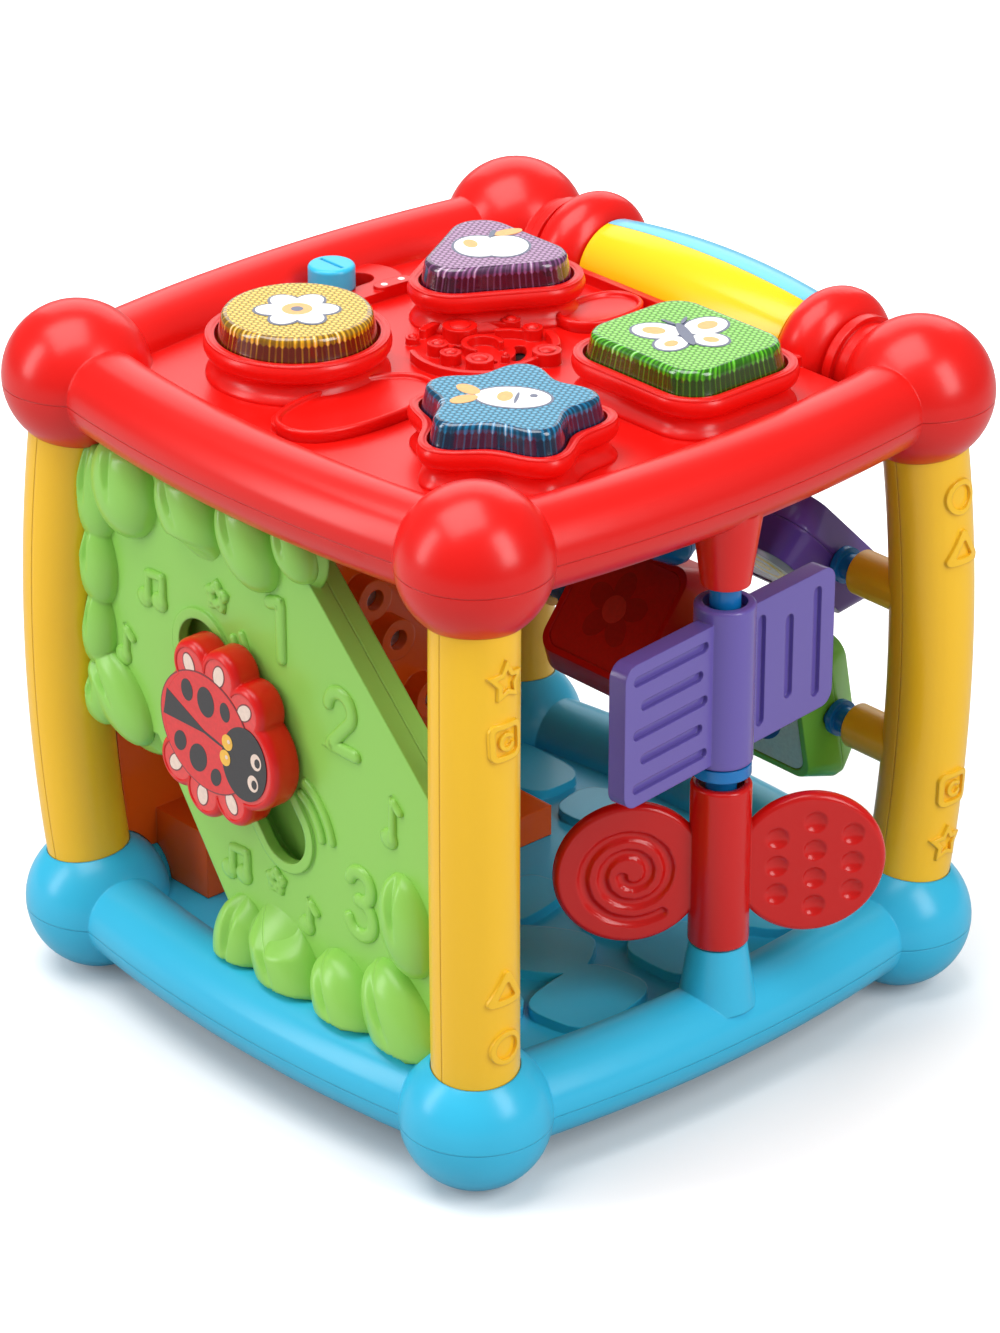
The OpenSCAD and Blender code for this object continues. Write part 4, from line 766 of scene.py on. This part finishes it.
class CUBE_OT_figures(bpy.types.Operator):
    """Round over the raised digits, notes, stars and arcs of the green panel"""
    bl_idname = "cube.figures"
    bl_label = "Build the panel's figures"

    def execute(self, context):
        bm = bmesh.new()
        for line in ([(4.6, 147.2), (9, 148.5), (9, 132)],
                     self.arc(33, 125.6, 4.8, 175, -38) + [(28.6, 113.8), (39, 113.8)],
                     self.arc(40.4, 74.8, 4.4, 160, -100), self.arc(40.4, 65.2, 5.2, 66, -160)):
            self.ridge(bm, line, 2.1)
        for x, z, tall in ((52.4, 94.4, 12), (17.6, 53.6, 8), (-60, 108, 9)):
            self.ridge(bm, [(x + 1.5, z + 0.2), (x + 1.5, z + tall), (x + 4.4, z + tall - 2.6)], 1.3)
            self.ridge(bm, [(x - 0.1, z), (x + 0.1, z)], 3.2)
        for x, z, tall in ((-49.4, 129.6, 8), (-15.4, 58, 7.5)):
            self.ridge(bm, [(x + 1.5, z + 0.2), (x + 1.5, z + tall), (x + 7.9, z + tall + 0.6),
                            (x + 7.9, z + 0.8)], 1.4)
            for right, up in ((0, 0), (6.4, 0.6)):
                self.ridge(bm, [(x + right - 0.1, z + up), (x + right + 0.1, z + up)], 3.2)
        for x, z, radius, band in ((-17.8, 141, 5, 1.3), (5, 62.5, 4.2, 1.2)):
            tips = [radius - 0.85 * band if i % 2 == 0 else 0.55 * radius - 0.5 * band for i in range(10)]
            points = [polar(tip, 36 * i) for i, tip in enumerate(tips)]
            self.ridge(bm, [(x + right, z + up) for up, right in points], 1.5, closed=True)
        for radius in (16.0, 20.4):
            self.ridge(bm, self.arc(-24.8, 122.2, radius, -4, 32), 1.3)
            self.ridge(bm, self.arc(*SLOT_END, radius, 12, 64), 1.3)
        bmesh.ops.transform(bm, matrix=panel_place(), verts=bm.verts)
        make_object("figure_forms", bm, [bpy.data.materials["green_plastic_satin"]], "frame_body")
        return {"FINISHED"}

    def arc(self, x, z, radius, first, last):
        """Points along an arc from a first to a last angle."""
        points = [polar(radius, first + (last - first) * i / 24) for i in range(25)]
        return [(x + right, z + up) for right, up in points]

    def ridge(self, bm, line, half, closed=False):
        """A rounded ridge of a half width along a line on the panel's face."""
        points = [Vector(p) for p in line]
        legs = list(zip(points, points[1:] + points[:1] if closed else points[1:]))
        spaced = []
        for a, b in legs:
            parts = max(1, math.ceil((b - a).length / 0.7))
            spaced += [a.lerp(b, i / parts) for i in range(parts)]
        if not closed:
            spaced.append(points[-1])
        rings = []
        for i, here in enumerate(spaced):
            before = spaced[i - 1] if i or closed else here
            after = spaced[(i + 1) % len(spaced)] if i + 1 < len(spaced) or closed else here
            way = (after - before).normalized()
            ends = [0]
            if not closed and i == 0:
                ends = [-84, -70, -50, -25, 0]
            elif not closed and i == len(spaced) - 1:
                ends = [0, 25, 50, 70, 84]
            for angle in ends:
                size, ahead = polar(1, angle)
                rings.append(self.section(here + way * half * ahead, way, half * size, size))
        skin(bm, rings, closed)

    def section(self, here, way, half, size):
        """One cross-section of a ridge, lower where it is smaller at the ends."""
        side = Vector((-way.y, way.x))
        shape = []
        for i in range(13):
            across = math.cos(math.radians(15 * i))
            shape.append((across * half, FIGURE_HEIGHT * size ** 0.5 * math.sqrt(max(1 - abs(across) ** 3, 0))))
        shape += [(-half, -0.5), (half, -0.5)]
        return [(here.x + side.x * a, -h, here.y + side.y * a) for a, h in shape]


class CUBE_OT_slider_form(bpy.types.Operator):
    """Build the rounded body of the ladybird slider"""
    bl_idname = "cube.slider_form"
    bl_label = "Build the slider"

    def execute(self, context):
        place = slider_place(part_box("slider_body")[1][1] - 4 * MM)
        bm = bmesh.new()
        profile = [(-1.2, 0), (-0.4, 0.3), (0, 1.1), (0, 3.5), (0, 6.2)]
        for i in range(1, 7):
            angle = math.radians(15 * i)
            profile.append((-2.1 * (1 - math.cos(angle)), 6.2 + 2.8 * math.sin(angle)))
        profile += [(-2.3, 8.97), (-2.36, 8.75), (-2.36, 8.4)]
        skin(bm, [[(x, y, depth) for x, y in self.outline(grow)] for grow, depth in profile])
        bmesh.ops.create_cone(bm, cap_ends=True, segments=64, radius1=8.9, radius2=8.9, depth=4.4,
                              matrix=Matrix.Translation((0, 0, -1.8)))
        bmesh.ops.transform(bm, matrix=place @ Matrix.Scale(MM, 4), verts=bm.verts)
        piece = make_object("slider_form", bm, [bpy.data.materials["red_plastic_gloss"]], "slider_body_set")
        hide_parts("slider_body")
        return {"FINISHED"}

    def outline(self, grow):
        """Outline of body, head and six feet: the farthest of the circles in each direction."""
        rounds = [(0, 0, 20.5), (14, 0, 15)]
        rounds += [(*polar(19.1, angle), 8) for angle in SLIDER_FEET]
        path = []
        for i in range(720):
            angle = math.radians(i / 2)
            reach = 0
            for x, y, radius in rounds:
                along = x * math.cos(angle) + y * math.sin(angle)
                inside = (radius + grow) ** 2 - x * x - y * y + along * along
                if inside >= 0:
                    reach = max(reach, along + math.sqrt(inside))
            path.append((reach * math.cos(angle), reach * math.sin(angle)))
        return even(path, 360)


class CUBE_OT_disc_form(bpy.types.Operator):
    """Build the disc spinner: a bored hub, a disc with a spiral groove and a disc with hollows"""
    bl_idname = "cube.disc_form"
    bl_label = "Build the disc spinner"
    turn, reach, drop, radius = -35, 24.8, -1.8, 21.3

    def execute(self, context):
        low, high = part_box("disc_flipper")
        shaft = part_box("flipper_shaft")
        axis = Matrix.Translation(((shaft[0][0] + shaft[1][0]) / 2, (shaft[0][1] + shaft[1][1]) / 2,
                                   (low[2] + high[2]) / 2))
        place = axis @ Matrix.Rotation(math.radians(self.turn), 4, "Z") @ Matrix.Scale(MM, 4)
        half = (high[2] - low[2]) / 2 / MM
        bm = bmesh.new()
        self.hub(bm, half)
        for side, height in ((-1, self.groove), (1, self.hollows)):
            centre = Vector((0, side * self.reach, self.drop))
            self.disc(bm, centre, self.radius, props()[1].disc_thickness / MM / 2, height)
        bmesh.ops.transform(bm, matrix=place, verts=bm.verts)
        for face in bm.faces:
            face.smooth = True
        piece = make_object("disc_form", bm, [bpy.data.materials["spinner_red_gloss"]], "disc_flipper_body")
        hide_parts("disc_flipper")
        return {"FINISHED"}

    def hub(self, bm, half):
        """The hub, bored for the shaft and wider at both mouths."""
        outer, bore, mouth, deep, soft = 8.5, 4.45, 6.1, 3, 1.0
        profile = [(bore, 0, deep - half), (mouth, 0, deep - half), (mouth, 0, -half + 0.3),
                   (mouth + 0.3, 0, -half), (outer - soft, 0, -half)]
        curve = [math.radians(22.5 * i) for i in range(1, 5)]
        profile += [(outer - soft + soft * math.sin(a), 0, -half + soft - soft * math.cos(a)) for a in curve]
        profile += [(x, y, -z) for x, y, z in reversed(profile)]
        turned(bm, profile, (0, 0, 1), True, 96)

    def disc(self, bm, centre, radius, half, height):
        """A round-edged disc whose two faces follow a height, which is below nought where they are hollow."""
        edge, rings = 1.7, 44
        flat = radius - edge
        face = [(half, flat * i / rings, 0) for i in range(rings + 1)]
        face += [(half * math.cos(math.radians(15 * i)), flat + edge * math.sin(math.radians(15 * i)), 0)
                 for i in range(1, 6)]
        profile = face + [(0, radius, 0)] + [(-x, y, z) for x, y, z in reversed(face)]
        points = turned(bm, profile, (1, 0, 0), False, 216)
        for vert in points:
            if abs(vert.co.x) > half - 1e-4:
                vert.co.x += height(vert.co.y, vert.co.z) * math.copysign(1, vert.co.x)
        bmesh.ops.translate(bm, verts=points, vec=centre)

    def groove(self, y, z):
        """Height of the spiral groove, below the face: a little over two turns."""
        pitch, start, inner, depth, half = 5.4, math.radians(305), 2.6, 1.1, 1.6
        reach, angle = math.hypot(y, z), math.atan2(z, y)
        last = start + 4 * math.pi
        lap = round((reach - inner) / pitch - (angle - start) / (2 * math.pi) - 0.5)
        way = min(max(angle + 2 * math.pi * lap, start - 0.6 * math.pi), last)
        radius = inner + pitch * (way - start + 0.6 * math.pi) / (2 * math.pi)
        off = math.hypot(y - radius * math.cos(way), z - radius * math.sin(way)) / half
        return -depth * (1 - min(off, 1) ** 2) ** 0.6 if off < 1 else 0

    def hollows(self, y, z):
        """Height of the ten round hollows, below the face: columns of three, four and three."""
        middle, across, up, radius, depth = 1.2, 10.5, 8.6, 3.2, 1.25
        for column in (-1, 0, 1):
            for row in ((-1.5, -0.5, 0.5, 1.5) if column == 0 else (-1, 0, 1)):
                off = math.hypot(y - middle - across * column, z - up * row) / radius
                if off < 1:
                    return -depth * (1 - off * off) ** 0.75
        return 0


class CUBE_OT_knob_dots(bpy.types.Operator):
    """Print the two position dots beside the slide knob"""
    bl_idname = "cube.knob_dots"
    bl_label = "Print the knob's dots"

    def execute(self, context):
        low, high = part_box("slide_switch")
        right, back, apart, radius = 8.55, 14, 3.2, 1.0
        x, y = (low[0] + high[0]) / 2 + right * MM, (low[1] + high[1]) / 2 + back * MM
        place = Matrix.Translation((x, y, props()[1].tab_level))
        bm = bmesh.new()
        for along in (-apart, apart):
            layer(bm, place, 0, along, radius, radius, 0, 0, 0)
        make_object("knob_dots", bm, [bpy.data.materials["print_white_ink"]], "frame_body")
        return {"FINISHED"}


class CUBE_OT_cap_prints(bpy.types.Operator):
    """Print a plain motif on each button cap"""
    bl_idname = "cube.cap_prints"
    bl_label = "Print the button caps"

    def execute(self, context):
        tone = props()[0]
        inks = [printed("print_outline_ink", tone.ink), printed("print_white_ink", srgb(248, 247, 244)),
                printed("print_peach_ink", tone.peach)]
        for kind, (shape, accents, lines) in MOTIFS.items():
            place = (Matrix.Translation((*cap_centre(kind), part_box(f"{kind}_button")[1][2]))
                     @ Matrix.Rotation(math.radians(MOTIF_TURNS[kind]), 4, "Z")
                     @ Matrix.Diagonal((MOTIF_SCALE, MOTIF_SCALE, 1, 1)))
            bm = bmesh.new()
            level = 0
            for ink, grow, ovals in ((OUTLINE, OUTLINE_WIDTH, shape), (WHITE, 0, shape), (PEACH, 0, accents),
                                     (OUTLINE, 0, lines)):
                for x, y, rx, ry, turn in ovals:
                    layer(bm, place, x, y, rx + grow, ry + grow, turn, level, ink)
                    level += 0.4
            make_object(f"{kind}_cap_print", bm, inks, f"{kind}_button_body")
        return {"FINISHED"}


class CUBE_OT_slider_print(bpy.types.Operator):
    """Print the ladybird on the slider's label"""
    bl_idname = "cube.slider_print"
    bl_label = "Print the slider"

    def execute(self, context):
        place = slider_place(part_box("slider_label")[0][1])
        inks = [printed(f"ladybird_{name}_ink", srgb(*value)) for name, value in (
            ("black", (38, 36, 40)), ("red", (226, 40, 42)), ("cream", (240, 214, 198)),
            ("yellow", (248, 190, 60)), ("line", (120, 46, 52)))]
        black, red, cream, yellow, line = range(len(inks))
        bm = bmesh.new()
        for angle in SLIDER_FEET:
            x, y = polar(20.0, angle)
            layer(bm, place, x, y, 3.5, 2.5, angle, 0, line)
            layer(bm, place, x, y, 3.1, 2.1, angle, 1, cream)
        layer(bm, place, -1, 0, 19.4, 17.5, 0, 2, line, 72)
        layer(bm, place, -1, 0, 19.0, 17.1, 0, 3, red, 72)
        layer(bm, place, 15.8, 0, 9.3, 11.2, 0, 4, black, 56)
        layer(bm, place, 1, 0, 7, 0.45, 0, 3.6, black)
        layer(bm, place, -12.2, 0, 4.9, 12.6, -90, 4, black, 3)
        for x, y, long, wide in ((5.6, 11, 2.1, 2.9), (-2.4, 9.4, 3.6, 4.5), (-10.4, 8.6, 2.5, 3.3)):
            layer(bm, place, x, y, long, wide, 14, 4, black)
            layer(bm, place, x, -y, long, wide, -14, 4, black)
        for y in (-3.6, 3.6):
            layer(bm, place, 20.3, y, 2.2, 2.5, 0, 5, cream)
            layer(bm, place, 20.9, y, 1.1, 1.4, 0, 6, black)
            layer(bm, place, 8.2, y * 0.72, 2.2, 2.4, 0, 6, yellow)
            layer(bm, place, 8.8, y * 0.72 + 0.6, 0.6, 0.6, 0, 7, cream)
        make_object("ladybird_print", bm, inks, "slider_body_set")
        return {"FINISHED"}


# Flip tiles: turn at rest, then label, pale ink and ink in screen values.
TILES = {
    "ur": (45, (150, 120, 200), (236, 232, 246), (252, 210, 60)),
    "ul": (-3, (60, 168, 222), (236, 246, 252), (252, 206, 60)),
    "lr": (11, (206, 228, 214), (20, 74, 150), (90, 170, 222)),
    "ll": (142, (222, 30, 26), (196, 28, 26), (232, 62, 54)),
}
LABEL_SEAT, LABEL_THICKNESS = 9.2, 0.5
# Prints of the tiles: x, y, half widths, turn, ink and layer.
TILE_MOTIFS = {
    "front": [(0, 0, 12, 12, 0, 1, 0), (0, 0, 9, 9, 0, 2, 1), (0, 0, 6, 6, 0, 1, 2), (0, 0, 3, 3, 0, 2, 3)],
    "back": [(*polar(7.2, 72 * i + 18), 5, 3.8, 72 * i + 18, 1, i * 0.4) for i in range(5)]
            + [(0, 0, 4.4, 4.4, 0, 2, 3)],
}


class CUBE_OT_tile_prints(bpy.types.Operator):
    """Lay a label with a plain motif into both faces of each flip tile"""
    bl_idname = "cube.tile_prints"
    bl_label = "Print the flip tiles"

    def execute(self, context):
        for tile, (tilt, label, pale, ink) in TILES.items():
            inks = [printed(f"tile_{tile}_{name}", srgb(*value))
                    for name, value in (("label", label), ("pale_ink", pale), ("ink", ink))]
            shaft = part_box("upper_tile_shaft" if tile[0] == "u" else "lower_tile_shaft")
            for side, turn in (("front", 90), ("back", -90)):
                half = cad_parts[f"tile_{tile}_{side}"]
                low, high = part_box(half.name)
                place = (Matrix.Translation(((low[0] + high[0]) / 2, (shaft[0][1] + shaft[1][1]) / 2,
                                             (shaft[0][2] + shaft[1][2]) / 2))
                         @ Matrix.Rotation(math.radians(tilt + turn), 4, "X"))
                bm = bmesh.new()
                self.plate(bm, place @ Matrix.Translation((0, 0, LABEL_SEAT * MM)))
                face = place @ Matrix.Translation((0, 0, (LABEL_SEAT + LABEL_THICKNESS) * MM))
                for x, y, rx, ry, lean, number, level in TILE_MOTIFS[side]:
                    layer(bm, face, x, y, rx, ry, lean, level, number)
                make_object(f"tile_{tile}_{side}_label", bm, inks, f"tile_{tile}_body")
        return {"FINISHED"}

    def plate(self, bm, place):
        """The label itself, a thin plate with rounded corners."""
        count = 96
        outline = rounded([(13.8, -12.3), (13.8, 12.3), (-13.8, 12.3), (-13.8, -12.3)], 5, count)
        ring = bmesh.ops.create_circle(bm, segments=count, radius=1, cap_ends=True)["verts"]
        for vert, (x, y) in zip(ring, outline):
            vert.co = (x * MM, y * MM, 0)
        grown = bmesh.ops.extrude_face_region(bm, geom=list(bm.faces))["geom"]
        bmesh.ops.translate(bm, verts=[v for v in grown if isinstance(v, bmesh.types.BMVert)],
                            vec=(0, 0, LABEL_THICKNESS * MM))
        bmesh.ops.transform(bm, matrix=place, verts=bm.verts)


# Lights: name, place, aim, width, height and power.
LAMPS = (
    ("softbox_top", (-0.15, -0.3, 1.5), (0, 0, 0.12), 1.2, 1.2, 19),
    ("softbox_right", (1.35, 0.2, 1.0), (0, 0, 0.1), 0.6, 1.2, 13),
    ("strip_left", (-0.8, -1.35, 0.8), (0, 0, 0.1), 0.45, 1.2, 10),
    ("softbox_back", (-1.25, 1.15, 1.0), (0, 0, 0.15), 2.0, 1.3, 10),
)
CAMERA_PLACE, CAMERA_AIM = (0.9407, -0.8605, 0.7344), (-0.00798, 0.00097, 0.0972)
CAMERA_LENS, CAMERA_SENSOR = 136.66, 36
FLOOR_WHITE, FLOOR_BOUNCE = 0.93, 0.5
WORLD_LIGHT, WORLD_SEEN, WORLD_MIRRORED = 0.43, 0.65, -0.25


class CUBE_OT_stage(bpy.types.Operator):
    """Set the floor, the soft lights, the world and the camera"""
    bl_idname = "cube.stage"
    bl_label = "Set the stage"

    def execute(self, context):
        scene = context.scene
        scene.view_settings.view_transform = "Standard"
        self.floor(scene)
        self.world(scene)
        for lamp in LAMPS:
            self.lamp(scene, *lamp)
        camera = bpy.data.cameras.new("photo_camera")
        camera.lens = CAMERA_LENS
        camera.sensor_width = CAMERA_SENSOR
        camera.sensor_fit = "AUTO"
        scene.camera = self.aimed(scene, "photo_camera", camera, CAMERA_PLACE, CAMERA_AIM)
        return {"FINISHED"}

    def floor(self, scene):
        """A floor that is white to the camera, bounces half the light and glows away from the cube; its glow fades
        towards the cube, leaving a painted shadow round it.
        """
        bm = bmesh.new()
        bmesh.ops.create_grid(bm, x_segments=4, y_segments=4, size=props()[1].floor_size / 2)
        mesh = bpy.data.meshes.new("studio_floor")
        bm.to_mesh(mesh)
        bm.free()
        material, tree, shader = new_material("studio_white_floor")
        place = object_place(tree)
        seen = tree.nodes.new("ShaderNodeLightPath").outputs["Is Camera Ray"]
        white = drifting(tree, place, [FLOOR_WHITE] * 3, 3, 0.995, 1)
        shade = add(tree, "Mix", {"Factor": seen, "A": (*[FLOOR_BOUNCE] * 3, 1), "B": white}, data_type="RGBA")
        # Painted shadow: the glow falls from 0.9 far out to 0.06 at the cube, so the floor darkens round it.
        glow_with_painted_shadow = map_range(tree, vector_maths(tree, "LENGTH", place), 0.11, 0.6, 0.06, 0.9)
        feed(tree, shader, {
            "Base Color": shade.outputs["Result"],
            "Roughness": 0.9,
            "Specular IOR Level": 0.1,
            "Emission Color": (1, 1, 1, 1),
            "Emission Strength": maths(tree, "MULTIPLY", seen, glow_with_painted_shadow),
        })
        mesh.materials.append(material)
        floor = bpy.data.objects.new("studio_floor", mesh)
        scene.collection.objects.link(floor)

    def world(self, scene):
        """A backdrop that is white to the camera and dimmer as light and in reflections."""
        scene.world = bpy.data.worlds.new("studio_world")
        scene.world.use_nodes = True
        tree = scene.world.node_tree
        ray = tree.nodes.new("ShaderNodeLightPath")
        mirrored = maths(tree, "MULTIPLY", ray.outputs["Is Glossy Ray"], WORLD_MIRRORED)
        viewed = maths(tree, "MULTIPLY", ray.outputs["Is Camera Ray"], WORLD_SEEN)
        feed(tree, tree.nodes["Background"], {
            "Color": (1, 1, 1, 1),
            "Strength": maths(tree, "ADD", maths(tree, "ADD", mirrored, viewed), WORLD_LIGHT),
        })

    def lamp(self, scene, name, where, target, width, height, power):
        light = bpy.data.lights.new(name, "AREA")
        light.shape = "RECTANGLE"
        light.size, light.size_y = width, height
        light.energy = power
        self.aimed(scene, name, light, where, target)

    def aimed(self, scene, name, data, where, target):
        """A light or camera set at a place and turned to its target."""
        holder = bpy.data.objects.new(name, data)
        scene.collection.objects.link(holder)
        holder.location = where
        holder.rotation_euler = (Vector(target) - holder.location).to_track_quat("-Z", "Y").to_euler()
        return holder


class CUBE_PT_panel(bpy.types.Panel):
    """Lists the steps that dress the cube"""
    bl_idname = "CUBE_PT_panel"
    bl_label = "Activity Cube"
    bl_space_type = "VIEW_3D"
    bl_region_type = "UI"
    bl_category = "Activity Cube"

    def draw(self, context):
        for step in STEPS:
            self.layout.operator(step.bl_idname)
        for group in (context.scene.cube_colours, context.scene.cube_sizes):
            box = self.layout.box()
            for name in group.__annotations__:
                box.prop(group, name)


STEPS = (CUBE_OT_plastics, CUBE_OT_caps, CUBE_OT_collars, CUBE_OT_badges, CUBE_OT_domes, CUBE_OT_leaves,
         CUBE_OT_figures, CUBE_OT_cap_prints, CUBE_OT_knob_dots, CUBE_OT_disc_form, CUBE_OT_slider_form,
         CUBE_OT_slider_print, CUBE_OT_tile_prints, CUBE_OT_stage)
CLASSES = (CubeColours, CubeSizes) + STEPS + (CUBE_PT_panel,)


def register():
    for item in CLASSES:
        bpy.utils.register_class(item)
    bpy.types.Scene.cube_colours = PointerProperty(type=CubeColours)
    bpy.types.Scene.cube_sizes = PointerProperty(type=CubeSizes)


def unregister():
    del bpy.types.Scene.cube_sizes
    del bpy.types.Scene.cube_colours
    for item in reversed(CLASSES):
        bpy.utils.unregister_class(item)


def main():
    register()
    bpy.ops.cube.plastics()
    bpy.ops.cube.caps()
    bpy.ops.cube.collars()
    bpy.ops.cube.badges()
    bpy.ops.cube.domes()
    bpy.ops.cube.leaves()
    bpy.ops.cube.figures()
    bpy.ops.cube.cap_prints()
    bpy.ops.cube.knob_dots()
    bpy.ops.cube.disc_form()
    bpy.ops.cube.slider_form()
    bpy.ops.cube.slider_print()
    bpy.ops.cube.tile_prints()
    bpy.ops.cube.stage()


if __name__ == "__main__":
    main()
